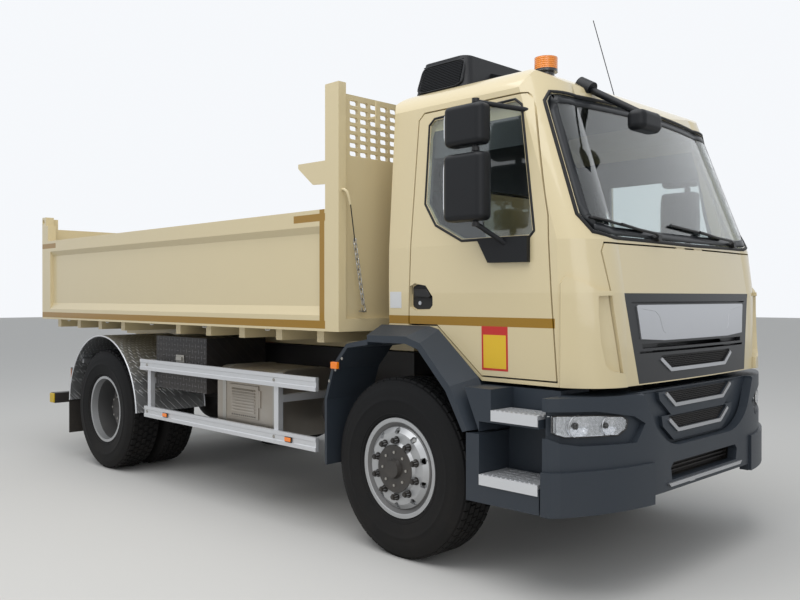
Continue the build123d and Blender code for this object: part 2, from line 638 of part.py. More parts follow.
# ---- roof: cooling unit, beacon, aerial ----------------------------------------------------------
with BuildPart() as roof_unit:
    with BuildSketch(Plane.XY.offset(roof_z - 30)) as base:
        with Locations((front_axle_x + 40, 0)):
            RectangleRounded(460, 1660, 60)
    with BuildSketch(Plane.XY.offset(roof_z + 190)) as crown:
        with Locations((front_axle_x + 25, 0)):
            RectangleRounded(370, 1540, 60)
    loft([base.sketch, crown.sketch], ruled=True)
    tail = ahead((150, roof_z - 40), (150, roof_z + 130), (500, roof_z + 20), (520, roof_z - 40))
    side_prism(tail, -560, 560)
    add(cab_outer, mode=Mode.SUBTRACT)
roof_unit.part.label = "roof_unit"
export_step(roof_unit.part, "parts/roof_unit.step")

beacon_x, beacon_y = front_axle_x + 650, -560
with BuildPart() as beacon:
    bar((beacon_x, beacon_y, roof_z - 60), (beacon_x, beacon_y, roof_z + 30), 50)
    bar((beacon_x, beacon_y, roof_z + 30), (beacon_x, beacon_y, roof_z + 115), 68)
    add(cab_outer, mode=Mode.SUBTRACT)
beacon.part.label = "beacon"
export_step(beacon.part, "parts/beacon.step")

aerial_x, aerial_y = front_axle_x + 560, 380
with BuildPart() as aerial:
    bar((aerial_x, aerial_y, roof_z - 40), (aerial_x, aerial_y, roof_z + 30), 16)
    bar((aerial_x, aerial_y, roof_z + 20), (aerial_x - 180, aerial_y, roof_z + 620), 3)
    add(cab_outer, mode=Mode.SUBTRACT)
aerial.part.label = "aerial"
export_step(aerial.part, "parts/aerial.step")


# ---- cab inside: dashboard, steering wheel, seats ------------------------------------------------
wheel_centre = (front_axle_x + 640, 560, 1830)
lean = Plane(origin=wheel_centre, z_dir=(-0.62, 0, 0.78))
ring_radius = 225
with BuildPart() as dashboard:
    block(front_axle_x + 860, front_axle_x + bulkhead_x, -980, 980, 1560, 1842)
    block(front_axle_x + tunnel_front, front_axle_x + bulkhead_x, -320, 320, 1124, 1560)
    side_prism(ahead((860, 1842), (860, 1860), (1000, 1880), (1080, 1842)), 200, 900)
    with BuildPart(mode=Mode.PRIVATE) as room:
        add(cab_body(cab_wall + 12))
    add(room.part, mode=Mode.INTERSECT)
    # steering wheel on its column
    with Locations(lean):
        Cylinder(ring_radius + 14, 26)
        Cylinder(ring_radius - 14, 27, mode=Mode.SUBTRACT)
    for turn in (90, 210, 330):
        spoke = Vector(cos(radians(turn)), sin(radians(turn)), 0)
        bar(wheel_centre, lean.from_local_coords(spoke * (ring_radius - 5)), 11)
    bar(lean.from_local_coords((0, 0, 22)), lean.from_local_coords((0, 0, -40)), 52)
    bar(wheel_centre, (front_axle_x + 900, 560, 1500), 28)
dashboard.part.label = "dashboard"
export_step(dashboard.part, "parts/dashboard.step")

with BuildPart() as seats:
    for middle in (-560, 560):
        block(front_axle_x - 10, front_axle_x + 430, middle - 240, middle + 240, 1560, 1680)
        side_prism(ahead((-40, 1600), (100, 1600), (0, 2230), (-110, 2230)), middle - 240, middle + 240)
        side_prism(ahead((-110, 2229), (-5, 2229), (-35, 2440), (-120, 2440)), middle - 130, middle + 130)
        block(front_axle_x + 60, front_axle_x + 380, middle - 150, middle + 150, rear_floor_z + 30.3, 1560)
seats.part.label = "seats"
export_step(seats.part, "parts/seats.step")


# ---- mirrors -------------------------------------------------------------------------------------
mirror_x, mirror_y = front_axle_x + 600, -1215
with BuildPart() as mirrors_right:
    for low, high, half_x in ((2370, 2590, 135), (1965, 2330, 140)):
        with BuildSketch(Plane.XY.offset(low)) as housing:
            with Locations((mirror_x, mirror_y)):
                RectangleRounded(2 * half_x, 110, 40)
        pod = extrude(housing.sketch, amount=high - low, mode=Mode.PRIVATE)
        add(pod.fillet(30, pod.edges().group_by(Axis.Z)[0] + pod.edges().group_by(Axis.Z)[-1]))
    bar((mirror_x + 60, mirror_y, 1945), (mirror_x + 60, mirror_y, 2610), 14)
    bar((mirror_x + 60, mirror_y, 2600), (front_axle_x + 843, -1000, 2560), 14)
    bar((mirror_x + 60, mirror_y, 1950), (front_axle_x + 760, -1075, 1840), 14)
    side_prism(ahead((640, 1745), (905, 1742), (905, 1880), (560, 1880)), -1092, -1040)
    add(cab_outer, mode=Mode.SUBTRACT)
mirrors_right.part.label = "mirrors_right"
export_step(mirrors_right.part, "parts/mirrors_right.step")
with BuildPart() as mirrors_left:
    mirror(mirrors_right.part, about=Plane.XZ)
mirrors_left.part.label = "mirrors_left"
export_step(mirrors_left.part, "parts/mirrors_left.step")

with BuildPart() as front_mirror:
    bar((front_axle_x + 880, -560, 2770), (front_axle_x + 1235, -540, 2560), 20)
    bar((front_axle_x + 880, -560, 2770), (front_axle_x + 960, -556, 2724), 45)
    with BuildSketch(Plane.XY.offset(2450)) as bowl:
        with Locations((front_axle_x + 1265, -520)):
            RectangleRounded(110, 230, 45)
    shell = extrude(bowl.sketch, amount=110, mode=Mode.PRIVATE)
    add(shell.fillet(34, shell.edges().group_by(Axis.Z)[0] + shell.edges().group_by(Axis.Z)[-1]))
    add(cab_outer, mode=Mode.SUBTRACT)
front_mirror.part.label = "front_mirror"
export_step(front_mirror.part, "parts/front_mirror.step")


# ---- bumper, lamps and its lower grille strips ----------------------------------------------------
bumper_top, bumper_bottom = 1055, 470
bumper_slope = 25          # its front top edge is sloped back to clear the tilting cab
bumper_half = 1245
bumper_rear = 1100         # from the front axle
bumper_wall = 54
lip_top = 690              # below this crease the corners stand proud
lip_step = 16
lip_inner = 610
lamp_depth = 30


def bumper_plan(inset, rear=bumper_rear):
    """The bumper's plan, drawn in from its proudest face."""
    with BuildSketch(Plane.XY.offset(bumper_bottom)) as plan:
        with BuildLine():
            front = front_axle_x + front_overhang - inset
            Polyline((front, -500 + inset / 3), (front, 500 - inset / 3))
            ThreePointArc((front, 500 - inset / 3), (front_axle_x + 1332 - inset, 870 - inset / 2),
                          (front_axle_x + 1190 - inset, 1200 - inset))
            Polyline((front_axle_x + 1190 - inset, 1200 - inset),
                     (front_axle_x + 1150 - inset, bumper_half - inset),
                     (front_axle_x + rear, bumper_half - inset), (front_axle_x + rear, -bumper_half + inset),
                     (front_axle_x + 1150 - inset, -bumper_half + inset),
                     (front_axle_x + 1190 - inset, -1200 + inset))
            ThreePointArc((front_axle_x + 1190 - inset, -1200 + inset),
                          (front_axle_x + 1332 - inset, -870 + inset / 2), (front, -500 + inset / 3))
        make_face()
    return plan.sketch


def bumper_recess():
    """The bowl round the lower strips, in front view."""
    with BuildSketch(Plane.YZ.offset(front_axle_x + 1300)) as bowl:
        with BuildLine():
            Polyline((-575, 870), (-680, 1040), (-690, 1100), (690, 1100), (680, 1040), (575, 870))
            ThreePointArc((575, 870), (470, 790), (300, 748))
            Line((300, 748), (-300, 748))
            ThreePointArc((-300, 748), (-470, 790), (-575, 870))
        make_face()
    return bowl.sketch


intake_outline = [(-392, 660), (-420, 632), (-405, 566), (405, 566), (420, 632), (392, 660)]
lamp_outline = [(-1230, 972), (-1230, 888), (-1150, 858), (-860, 852), (-806, 878), (-792, 926),
                (-830, 950), (-1000, 966)]
lamp_bowl = [(-1260, 990), (-1260, 872), (-1180, 832), (-1080, 814), (-740, 806), (-672, 900), (-760, 944),
             (-1000, 984)]
insert_face = front_axle_x + 1326
body_height = bumper_top - bumper_bottom
with BuildPart() as bumper:
    extrude(bumper_plan(0), amount=lip_top - bumper_bottom)
    block(front_axle_x + 1050, front_axle_x + 1400, -lip_inner, lip_inner, bumper_bottom - 1, lip_top + 1,
          mode=Mode.SUBTRACT)
    extrude(bumper_plan(lip_step), amount=body_height)
    extrude(bumper_plan(lip_step + bumper_wall, rear=950), amount=body_height - 12, mode=Mode.SUBTRACT)
    block(front_axle_x + 1050, front_axle_x + 1400, -lip_inner + 12, lip_inner - 12, bumper_bottom - 1, 512,
          mode=Mode.SUBTRACT)
    side_prism(ahead((front_overhang - lip_step - bumper_slope, bumper_top + 1),
                     (front_overhang + 1, bumper_top - bumper_slope - lip_step),
                     (front_overhang + 1, bumper_top + 1)),
               -bumper_half, bumper_half, mode=Mode.SUBTRACT)
    # open behind the top edge, where the cab's tilting arms swing up
    block(front_axle_x + bumper_rear - 10, front_axle_x + 1262, -600, 600, bumper_top - 20, bumper_top + 1,
          mode=Mode.SUBTRACT)
    extrude(bumper_recess(), amount=200, mode=Mode.SUBTRACT)
    front_prism(intake_outline, front_axle_x + 1100, front_axle_x + 1500, mode=Mode.SUBTRACT)
    with BuildPart(mode=Mode.PRIVATE) as lamp_bowls:
        for side in (-1, 1):
            front_prism([(-side * y, z) for y, z in lamp_bowl], front_axle_x + 1100, front_axle_x + 1500)
        extrude(bumper_plan(lip_step + lamp_depth), amount=body_height, mode=Mode.SUBTRACT)
    add(lamp_bowls.part, mode=Mode.SUBTRACT)
    # moulded insert behind the bowl: two cups, each with a mesh pocket
    front_prism([(-715, bumper_top - 13), (-715, 735), (715, 735), (715, bumper_top - 13)],
                front_axle_x + 1270, front_axle_x + 1304)
    for row in grille_strips[1:]:
        front_prism([(y, min(z, bumper_top - 13)) for y, z in cup_outline(*row)], front_axle_x + 1300,
                    insert_face)
    for row in grille_strips[1:]:
        front_prism([(y, min(z, bumper_top - 12)) for y, z in mesh_outline(*row)], front_axle_x + 1308,
                    front_axle_x + 1400, mode=Mode.SUBTRACT)
    for side in (-1, 1):
        block(front_axle_x + frame_front + 0.3, front_axle_x + 1272, side * (rail_half - 5),
              side * (rail_half - rail_flange), 780, 960)
bumper.part.label = "bumper"
export_step(bumper.part, "parts/bumper.step")

with BuildPart() as bumper_strips:
    for row in grille_strips[1:]:
        front_prism(strip_outline(*row), insert_face + 0.3, insert_face + 10)
    ledge = front_axle_x + front_overhang - lip_step
    front_prism([(-440, 536), (-465, 556), (465, 556), (440, 536)], ledge + 0.3, ledge + 14)
bumper_strips.part.label = "bumper_strips"
export_step(bumper_strips.part, "parts/bumper_strips.step")

with BuildPart() as headlamps:
    extrude(bumper_plan(lip_step + 8), amount=body_height)
    extrude(bumper_plan(lip_step + lamp_depth - 0.3, rear=950), amount=body_height, mode=Mode.SUBTRACT)
    with BuildPart(mode=Mode.PRIVATE) as lamp_tool:
        for side in (-1, 1):
            front_prism([(-side * y, z) for y, z in lamp_outline], front_axle_x + 1150, front_axle_x + 1500)
    add(lamp_tool.part, mode=Mode.INTERSECT)
headlamps.part.label = "headlamps"
export_step(headlamps.part, "parts/headlamps.step")


# ---- steps under the doors -----------------------------------------------------------------------
step_rear, step_front = 610, 1085
step_outer, step_inner = 1235, 780
step_top = 1075
with BuildPart() as step_right:
    side_prism(ahead((step_rear, 470), (step_front, 470), (step_front, step_top), (596, step_top), (707, 831),
                     (step_rear, 831)), -step_outer, -step_inner)
    for x0, z0, z1, depth in ((700, 600, 900, 260), (780, 945, step_top + 10, 190)):
        block(front_axle_x + x0, front_axle_x + step_front + 10, -step_outer - 10, -step_outer + depth, z0,
              z1, mode=Mode.SUBTRACT)
    block(front_axle_x + step_rear + 30, front_axle_x + step_rear + 130, -step_inner - 150,
          -rail_half - 0.3, 740, 800)
with BuildPart() as step_boxes:
    add(step_right.part)
    both_sides(step_right.part)
step_boxes.part.label = "step_boxes"
export_step(step_boxes.part, "parts/step_boxes.step")

tread_holes = (5, 4)
with BuildPart() as step_treads:
    for x0, z0, depth in ((705, 600.3, 230), (785, 945.3, 165)):
        for side in (-1, 1):
            x1, y0, y1 = step_front - 3, side * (step_outer + 8), side * (step_outer - depth)
            block(front_axle_x + x0, front_axle_x + x1, y0, y1, z0 + 14, z0 + 22)
            block(front_axle_x + x0, front_axle_x + x1, y0, side * (step_outer + 2), z0 - 34, z0 + 22)
            for foot in (x0, x1 - 20):
                block(front_axle_x + foot, front_axle_x + foot + 20, y0, y1, z0, z0 + 14)
            with BuildSketch(Plane.XY.offset(z0 + 10)) as holes:
                with Locations((front_axle_x + (x0 + x1) / 2, (y0 + y1) / 2)):
                    with GridLocations(58, (depth + 8) / (tread_holes[1] + 0.5), *tread_holes):
                        Rectangle(40, 22)
            extrude(holes.sketch, amount=20, mode=Mode.SUBTRACT)
step_treads.part.label = "step_treads"
export_step(step_treads.part, "parts/step_treads.step")


# ---- front wheel arches --------------------------------------------------------------------------
# the flare slopes out and down from under the door to its lip; both outlines run the same way round
flare_inner_y, flare_outer_y = 1073, 1240
flare_inner = ahead((-215, 1288), (-215, 1388), (190, 1388), (262, 1370), (562, 1114), (693, 850),
                    (588, 831), (465, 1041), (251, 1261), (155, 1288))
flare_outer = ahead((-168, 1288), (-172, 1328), (150, 1331), (270, 1296), (494, 1070), (622, 842),
                    (588, 831), (465, 1041), (251, 1261), (155, 1288))
arch_liner = ahead((-215, 1265), (-100, 1285), (130, 1290), (235, 1255), (470, 1030), (605, 835), (690, 835),
                   (540, 1110), (255, 1345), (200, 1365), (-60, 1365), (-215, 1335))
with BuildPart() as arch_right:
    flare_faces = []
    for points, y in ((flare_inner, flare_inner_y), (flare_outer, flare_outer_y)):
        with BuildSketch(Plane.XZ.offset(y)) as face:
            with BuildLine():
                Polyline(*points, close=True)
            make_face()
        flare_faces.append(face.sketch)
    loft(flare_faces, ruled=True)
    side_prism(arch_liner, -flare_inner_y - 1, -800)
    rear_guard = ahead((-620, 480), (-600, 480), (-600, 900), (-530, 1100), (-400, 1240), (-215, 1265),
                       (-215, 1300), (-410, 1265), (-550, 1115), (-622, 905))
    side_prism(rear_guard, -1195, -800)
    block(front_axle_x - 300, front_axle_x - 240, -800, -rail_half - 0.3, 1290, 1330)
    block(front_axle_x - 300, front_axle_x - 240, -rail_half - 60, -rail_half - 0.3, 900, 1330)
with BuildPart() as front_arches:
    add(arch_right.part)
    both_sides(arch_right.part)
front_arches.part.label = "front_arches"
export_step(front_arches.part, "parts/front_arches.step")


# ---- side guards ---------------------------------------------------------------------------------
guard_y = 1215
guard_rows = ((-3046, -690, 943, 1034), (-2974, -690, 551, 643))     # rear, front, low, high
guard_posts = (-2930, -1150)
with BuildPart() as guard_right:
    for rear, front, low, high in guard_rows:
        rail = [(0, 0), (0, 26), (5, 31), (5, high - low - 31), (0, high - low - 26), (0, high - low),
                (25, high - low), (25, 0)]
        front_prism([(-guard_y + inward, low + up) for inward, up in rail], front_axle_x + rear,
                    front_axle_x + front)
    for place in guard_posts:
        block(front_axle_x + place - 25, front_axle_x + place + 25, -guard_y + 25, -guard_y + 65, 551, 1034)
        block(front_axle_x + place - 25, front_axle_x + place + 25, -guard_y + 25, -rail_half - 0.3, 830, 880)
with BuildPart() as side_guards:
    add(guard_right.part)
    both_sides(guard_right.part)
side_guards.part.label = "side_guards"
export_step(side_guards.part, "parts/side_guards.step")


# ---- rear mudguards and flaps ----------------------------------------------------------------------
guard_radius = 660
guard_thick = 12
with BuildPart() as mudguard_right:
    ring_plane = Plane.XZ.offset(560)
    with BuildSketch(ring_plane) as ring:
        with Locations((rear_axle_x, axle_z)):
            Circle(guard_radius + guard_thick)
            Circle(guard_radius, mode=Mode.SUBTRACT)
        with Locations((rear_axle_x, axle_z - 400)):
            Rectangle(2000, 860, mode=Mode.SUBTRACT)
    extrude(ring.sketch, amount=670)
    for end in (-1, 1):
        x = rear_axle_x + end * 480
        block(x - 20, x + 20, -1180, -rail_half - 0.3, 930, 970)
    block(rear_axle_x - 500, rear_axle_x - 460, -600, -560, 930, 1000)
with BuildPart() as rear_mudguards:
    add(mudguard_right.part)
    both_sides(mudguard_right.part)
rear_mudguards.part.label = "rear_mudguards"
export_step(rear_mudguards.part, "parts/rear_mudguards.step")

with BuildPart() as mudflaps:
    for side in (-1, 1):
        block(rear_axle_x - guard_radius - 20, rear_axle_x - guard_radius - 12.3, side * 560, side * 1230,
              250, 600)
mudflaps.part.label = "mudflaps"
export_step(mudflaps.part, "parts/mudflaps.step")


# ---- silencer, fuel tank, air tanks, lockers -------------------------------------------------------
with BuildPart() as silencer:
    with BuildSketch(Plane.YZ.offset(front_axle_x - 1960)) as can:
        with Locations((-880, 800)):
            RectangleRounded(520, 480, 90)
    extrude(can.sketch, amount=780)
    for louvre in range(4):
        x = front_axle_x - 1730 + 90 * louvre
        side_prism([(x, 760), (x + 60, 760), (x + 60, 885), (x, 885)], -1146, -1139)
    for place in (-1800, -1350):
        block(front_axle_x + place - 30, front_axle_x + place + 30, -640, -rail_half - 0.3, 780, 860)
silencer.part.label = "silencer"
export_step(silencer.part, "parts/silencer.step")

with BuildPart() as fuel_tank:
    with BuildSketch(Plane.YZ.offset(front_axle_x - 1900)) as tank:
        with Locations((820, 760)):
            RectangleRounded(600, 560, 110)
    extrude(tank.sketch, amount=700)
    bar((front_axle_x - 1750, 950, 1000), (front_axle_x - 1750, 950, 1075), 50)
    for place in (-1750, -1350):
        block(front_axle_x + place - 30, front_axle_x + place + 30, rail_half + 0.3, 540, 760, 860)
fuel_tank.part.label = "fuel_tank"
export_step(fuel_tank.part, "parts/fuel_tank.step")

with BuildPart() as air_tanks:
    bar((front_axle_x - 1030, -760, 760), (front_axle_x - 670, -760, 760), 125)
    block(front_axle_x - 880, front_axle_x - 820, -660, -rail_half - 0.3, 780, 820)
air_tanks.part.label = "air_tanks"
export_step(air_tanks.part, "parts/air_tanks.step")

with BuildPart() as lockers:
    block(front_axle_x - 2700, front_axle_x - 2000, 560, 1130, 620, 980)
    block(front_axle_x - 2500, front_axle_x - 2440, rail_half + 0.3, 560, 780, 860)
    block(front_axle_x - 2890, front_axle_x - 2110, -1145, -590, 805, 1235)
    block(front_axle_x - 2600, front_axle_x - 2540, -590, -rail_half - 0.3, 820, 900)
lockers.part.label = "lockers"
export_step(lockers.part, "parts/lockers.step")


# ---- rear underrun bar and lamps -------------------------------------------------------------------
bar_x = front_axle_x - 4840
with BuildPart() as underrun_bar:
    block(bar_x - 50, bar_x + 50, -1215, 1215, 500, 600)
    for side in (-1, 1):
        block(bar_x - 40, bar_x + 40, side * 380, side * 440, 600, 900)
        block(bar_x + 40, front_axle_x + frame_rear - 0.3, side * 380, side * 440, 780, 900)
        block(front_axle_x + frame_rear - 1, front_axle_x + frame_rear + 160, side * (rail_half + 0.3),
              side * 450, 780, 900)
        block(bar_x + 60, front_axle_x + frame_rear - 1, side * 420, side * 450, 780, 900)
underrun_bar.part.label = "underrun_bar"
export_step(underrun_bar.part, "parts/underrun_bar.step")

with BuildPart() as rear_lamps:
    for side in (-1, 1):
        block(bar_x - 60, bar_x + 20, side * 620, side * 1010, 700, 840)
        block(bar_x - 20, bar_x + 20, side * 700, side * 760, 600.3, 700)
rear_lamps.part.label = "rear_lamps"
export_step(rear_lamps.part, "parts/rear_lamps.step")


# ---- tipping body: floor and underframe ------------------------------------------------------------
floor_z = body_bottom + floor_thick
beam_y0, beam_y1 = 372, 418
x_rear, x_front = rear_axle_x - rear_overhang, front_axle_x + body_front
px = front_axle_x + pivot_x
hx = front_axle_x + hoist_x
with BuildPart() as bed_floor:
    block(x_rear + 70, x_front - post_depth - 0.3, -body_half + side_wall + 0.3,
          body_half - side_wall - 0.3, body_bottom, floor_z)
    for side in (-1, 1):
        block(px - 260, x_front - post_depth - 40, side * beam_y0, side * beam_y1, subframe_top + 10,
              body_bottom)
        near, far = sorted((side * (beam_y0 + 3), side * (beam_y1 - 3)))
        side_prism([(px - 75, subframe_top + 12), (px + 75, subframe_top + 12), (px + 60, pivot_z - 20),
                    (px + 30, pivot_z - 55), (px - 30, pivot_z - 55), (px - 60, pivot_z - 20)], near, far)
        bar((px, side * (hinge_plate_y[0] - 25), pivot_z), (px,
                                                            side * (hinge_plate_y[1] + hinge_plate + 25),
                                                            pivot_z),
            hinge_pin_radius)
    for place in (-4800, -4350, -3900, -3450, -2500, -2050, -1600, -1150, -700):
        x = front_axle_x + place
        block(x - 35, x + 35, -body_half + side_wall + 20, body_half - side_wall - 20, body_bottom - 80,
              body_bottom)
    for side in (-1, 1):
        block(hx - 150, hx + 150, side * 60, side * 80, body_bottom - 120, body_bottom)
bed_floor.part.label = "bed_floor"
export_step(bed_floor.part, "parts/bed_floor.step")


# ---- tipping body: sides with posts, headboard, tailgate -------------------------------------------
side_profile = [(-body_half, body_bottom), (-body_half, 1441), (-body_half + 32, 1500),
                (-body_half + 32, 1965),
                (-body_half, 2009), (-body_half, side_top), (-body_half + side_wall, side_top),
                (-body_half + side_wall, body_bottom)]
rear_post_top = 2270
gate_pin_x, gate_pin_z = x_rear + 35, rear_post_top + 40
gate_pin_radius = 22
with BuildPart() as bed_side_right:
    front_prism(side_profile, x_rear + 139, x_front - post_depth)
    for end in (x_rear + 139, x_front - post_depth - 55):
        block(end, end + 55, -body_half, -body_half + side_wall, body_bottom, side_top)
    block(x_rear, x_rear + 139, -body_half, -body_half + side_wall, body_bottom, rear_post_top)
    block(x_rear, x_rear + 90, -body_half, -body_half + side_wall, rear_post_top, gate_pin_z + 45)
    bar((gate_pin_x, -body_half - 10, gate_pin_z), (gate_pin_x, -body_half + side_wall + 10, gate_pin_z),
        gate_pin_radius + running_gap, mode=Mode.SUBTRACT)
with BuildPart() as bed_sides:
    add(bed_side_right.part)
    both_sides(bed_side_right.part)
bed_sides.part.label = "bed_sides"
export_step(bed_sides.part, "parts/bed_sides.step")

slot_rows, slot_row_pitch = 7, 53.3
slot_columns, slot_pitch = 26, 88.5
slot_shape = [(-35, -9), (-27, -17), (27, -17), (35, -9), (35, 9), (27, 17), (-27, 17), (-35, 9)]
with BuildPart() as headboard:
    for side in (-1, 1):
        block(x_front - post_depth + 0.3, x_front, side * body_half, side * (body_half - post_width),
              body_bottom, board_top)
    block(x_front - 60, x_front - 35, -body_half + post_width, body_half - post_width, body_bottom, 2840)
    block(x_front - 100, x_front, -body_half + post_width, body_half - post_width, body_bottom, 1421)
    for side in (-1, 1):
        near, far = sorted((side * (body_half - 2), side * (body_half - 12)))
        gusset = [(x_front - post_depth - 276, 2424), (x_front - post_depth + 5, 2420),
                  (x_front - post_depth + 5, 2271),
                  (x_front - post_depth - 126, 2278), (x_front - post_depth - 276, 2395)]
        side_prism(gusset, near, far)
    with BuildSketch(Plane.YZ.offset(x_front - 100)) as slots:
        with Locations((0, 2630)):
            with GridLocations(slot_pitch, slot_row_pitch, slot_columns, slot_rows):
                Polygon(*slot_shape)
    extrude(slots.sketch, amount=120, mode=Mode.SUBTRACT)
headboard.part.label = "headboard"
export_step(headboard.part, "parts/headboard.step")

gate_half = body_half - side_wall - 6
with BuildPart() as tailgate:
    block(x_rear + 22, x_rear + 60, -gate_half, gate_half, body_bottom + 8, 2240)
    for low, high in ((body_bottom + 8, body_bottom + 100), (2140, 2240)):
        block(x_rear + 2, x_rear + 23, -gate_half, gate_half, low, high)
    for y in (-gate_half + 45, -560, 0, 560, gate_half - 45):
        block(x_rear + 2, x_rear + 23, y - 45, y + 45, body_bottom + 60, 2200)
    for side in (-1, 1):
        near, far = sorted((side * (gate_half - 50), side * gate_half))
        block(x_rear + 12, x_rear + 58, near, far, 2200, gate_pin_z + 30)
        bar((gate_pin_x, side * (gate_half - 50), gate_pin_z),
            (gate_pin_x, side * (body_half - 10), gate_pin_z), gate_pin_radius)
tailgate.part.label = "tailgate"
export_step(tailgate.part, "parts/tailgate.step")


# ---- tipping ram: a barrel on trunnions and three stages -------------------------------------------
stage_radius = (95, 78, 62, 46)
barrel_low, barrel_high = 720, 1190
with BuildPart() as ram_barrel:
    bar((hx, 0, barrel_low), (hx, 0, barrel_high), stage_radius[0])
    bar((hx, -290, hoist_z), (hx, 290, hoist_z), 35)
    bar((hx, 0, barrel_low + 20), (hx, 0, barrel_high + 1), stage_radius[1] + running_gap, mode=Mode.SUBTRACT)
ram_barrel.part.label = "ram_barrel"
export_step(ram_barrel.part, "parts/ram_barrel.step")
for number in (1, 2, 3):
    low = barrel_low + 22 + 6 * number
    with BuildPart() as stage:
        bar((hx, 0, low), (hx, 0, barrel_high + 8 * number), stage_radius[number])
        if number < 3:
            bar((hx, 0, low + 4), (hx, 0, barrel_high + 100), stage_radius[number + 1] + running_gap,
                mode=Mode.SUBTRACT)
        else:
            bar((hx, -40, 1270), (hx, 40, 1270), 42)
            bar((hx, 0, low), (hx, 0, 1270), 40)
    stage.part.label = f"ram_stage_{number}"
    export_step(stage.part, f"parts/ram_stage_{number}.step")
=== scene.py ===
"""Looks for a two-axle tipping lorry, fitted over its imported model.

Lengths are metres in the model's own frame: X forward, Y to the lorry's left, Z up from the ground.
"""

import bpy
import bmesh
import math
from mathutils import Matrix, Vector
from mathutils.bvhtree import BVHTree


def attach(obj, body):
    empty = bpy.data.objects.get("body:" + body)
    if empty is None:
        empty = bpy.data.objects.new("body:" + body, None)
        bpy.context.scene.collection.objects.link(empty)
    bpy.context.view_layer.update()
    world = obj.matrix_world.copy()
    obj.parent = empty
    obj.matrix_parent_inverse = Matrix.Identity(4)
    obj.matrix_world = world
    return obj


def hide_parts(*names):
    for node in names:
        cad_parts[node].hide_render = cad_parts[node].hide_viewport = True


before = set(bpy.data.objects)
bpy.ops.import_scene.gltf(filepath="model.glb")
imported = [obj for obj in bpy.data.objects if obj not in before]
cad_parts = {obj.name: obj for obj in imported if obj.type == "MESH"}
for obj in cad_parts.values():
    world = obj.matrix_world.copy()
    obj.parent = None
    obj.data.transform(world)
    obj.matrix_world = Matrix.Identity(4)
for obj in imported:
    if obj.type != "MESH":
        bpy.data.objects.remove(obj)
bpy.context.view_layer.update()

# ---- Studio -------------------------------------------------------------------------------------
# A pale floor under a plain white sky, one wide soft lamp overhead and a weaker one in front.
# The camera stands at eye height off the lorry's right front corner.
scene = bpy.context.scene
scene.view_settings.view_transform = "Standard"
FRONT_AXLE = 1.7975          # from the middle of the lorry


def linked(name, data):
    """An object with its data, put in the scene at the origin."""
    made = bpy.data.objects.new(name, data)
    scene.collection.objects.link(made)
    return made


def wire(source, target):
    """Joins a socket to an input, or sets the input to a number or a colour."""
    source = getattr(source, "socket", source)
    if isinstance(source, tuple):
        target.default_value = (*source, 1.0)
    elif isinstance(source, (int, float)):
        target.default_value = source
    else:
        target.id_data.links.new(source, target)


def shade(tree, key, value):
    """Joins a value to one input of a material's shader."""
    wire(value, tree.nodes["Principled BSDF"].inputs[key])


def new_material(name, colour, roughness, metallic=0.0, coat=0.0, specular=0.5):
    """A material with its plain values set, ready for its pattern."""
    made = bpy.data.materials.new(name)
    made.use_nodes = True
    for key, value in (("Base Color", colour), ("Roughness", roughness), ("Metallic", metallic),
            ("Coat Weight", coat), ("Coat Roughness", 0.05), ("Specular IOR Level", specular)):
        shade(made.node_tree, key, value)
    return made


def node(tree, kind, **values):
    """A node with some of its inputs set by name."""
    made = tree.nodes.new(kind)
    for key, value in values.items():
        made.inputs[key].default_value = value
    return made


def noise(place, **values):
    """A noise laid over a place."""
    made = node(place.id_data, "ShaderNodeTexNoise", **values)
    wire(place, made.inputs["Vector"])
    return made.outputs["Fac"]


def bumped(tree, height, **values):
    """Lets a height dent the surface of a material."""
    made = node(tree, "ShaderNodeBump", **values)
    wire(height, made.inputs["Height"])
    shade(tree, "Normal", made.outputs["Normal"])


class Sum:
    """A socket that sums are written on as they are on numbers."""
    def __init__(self, socket):
        self.socket = socket

    def __abs__(self):
        return calc("ABSOLUTE", self)

    def __floor__(self):
        return calc("FLOOR", self)

    def __gt__(self, other):
        return calc("GREATER_THAN", self, other)

    def __lt__(self, other):
        return calc("LESS_THAN", self, other)


for sign, sum_name in (("add", "ADD"), ("sub", "SUBTRACT"), ("mul", "MULTIPLY"), ("truediv", "DIVIDE"),
        ("mod", "MODULO"), ("pow", "POWER")):
    setattr(Sum, f"__{sign}__", lambda first, second, sum_name=sum_name: calc(sum_name, first, second))
    setattr(Sum, f"__r{sign}__", lambda second, first, sum_name=sum_name: calc(sum_name, first, second))


def calc(operation, first, second=0.0):
    """One sum on two sockets or numbers, as a node of its own."""
    owner = first if isinstance(first, Sum) else second
    made = owner.socket.id_data.nodes.new("ShaderNodeMath")
    made.operation = operation
    wire(first, made.inputs[0])
    wire(second, made.inputs[1])
    return Sum(made.outputs[0])


def object_axes(tree):
    """Object coordinates whole and as separate X, Y and Z."""
    place = tree.nodes.new("ShaderNodeTexCoord")
    split = tree.nodes.new("ShaderNodeSeparateXYZ")
    wire(place.outputs["Object"], split.inputs[0])
    return place.outputs["Object"], *(Sum(axis) for axis in split.outputs)


FLOOR_HALF = 60.0
floor_mesh = bpy.data.meshes.new("floor")
floor_mesh.from_pydata([(-FLOOR_HALF, -FLOOR_HALF, 0), (FLOOR_HALF, -FLOOR_HALF, 0),
    (FLOOR_HALF, FLOOR_HALF, 0), (-FLOOR_HALF, FLOOR_HALF, 0)], [], [(0, 1, 2, 3)])
floor = linked("floor", floor_mesh)
floor_finish = new_material("studio_floor", (0.60, 0.59, 0.57), 0.9, specular=0.2)
floor_tree = floor_finish.node_tree
bumped(floor_tree, noise(object_axes(floor_tree)[0], Scale=1.5, Detail=6.0), Strength=0.06)
floor_mesh.materials.append(floor_finish)

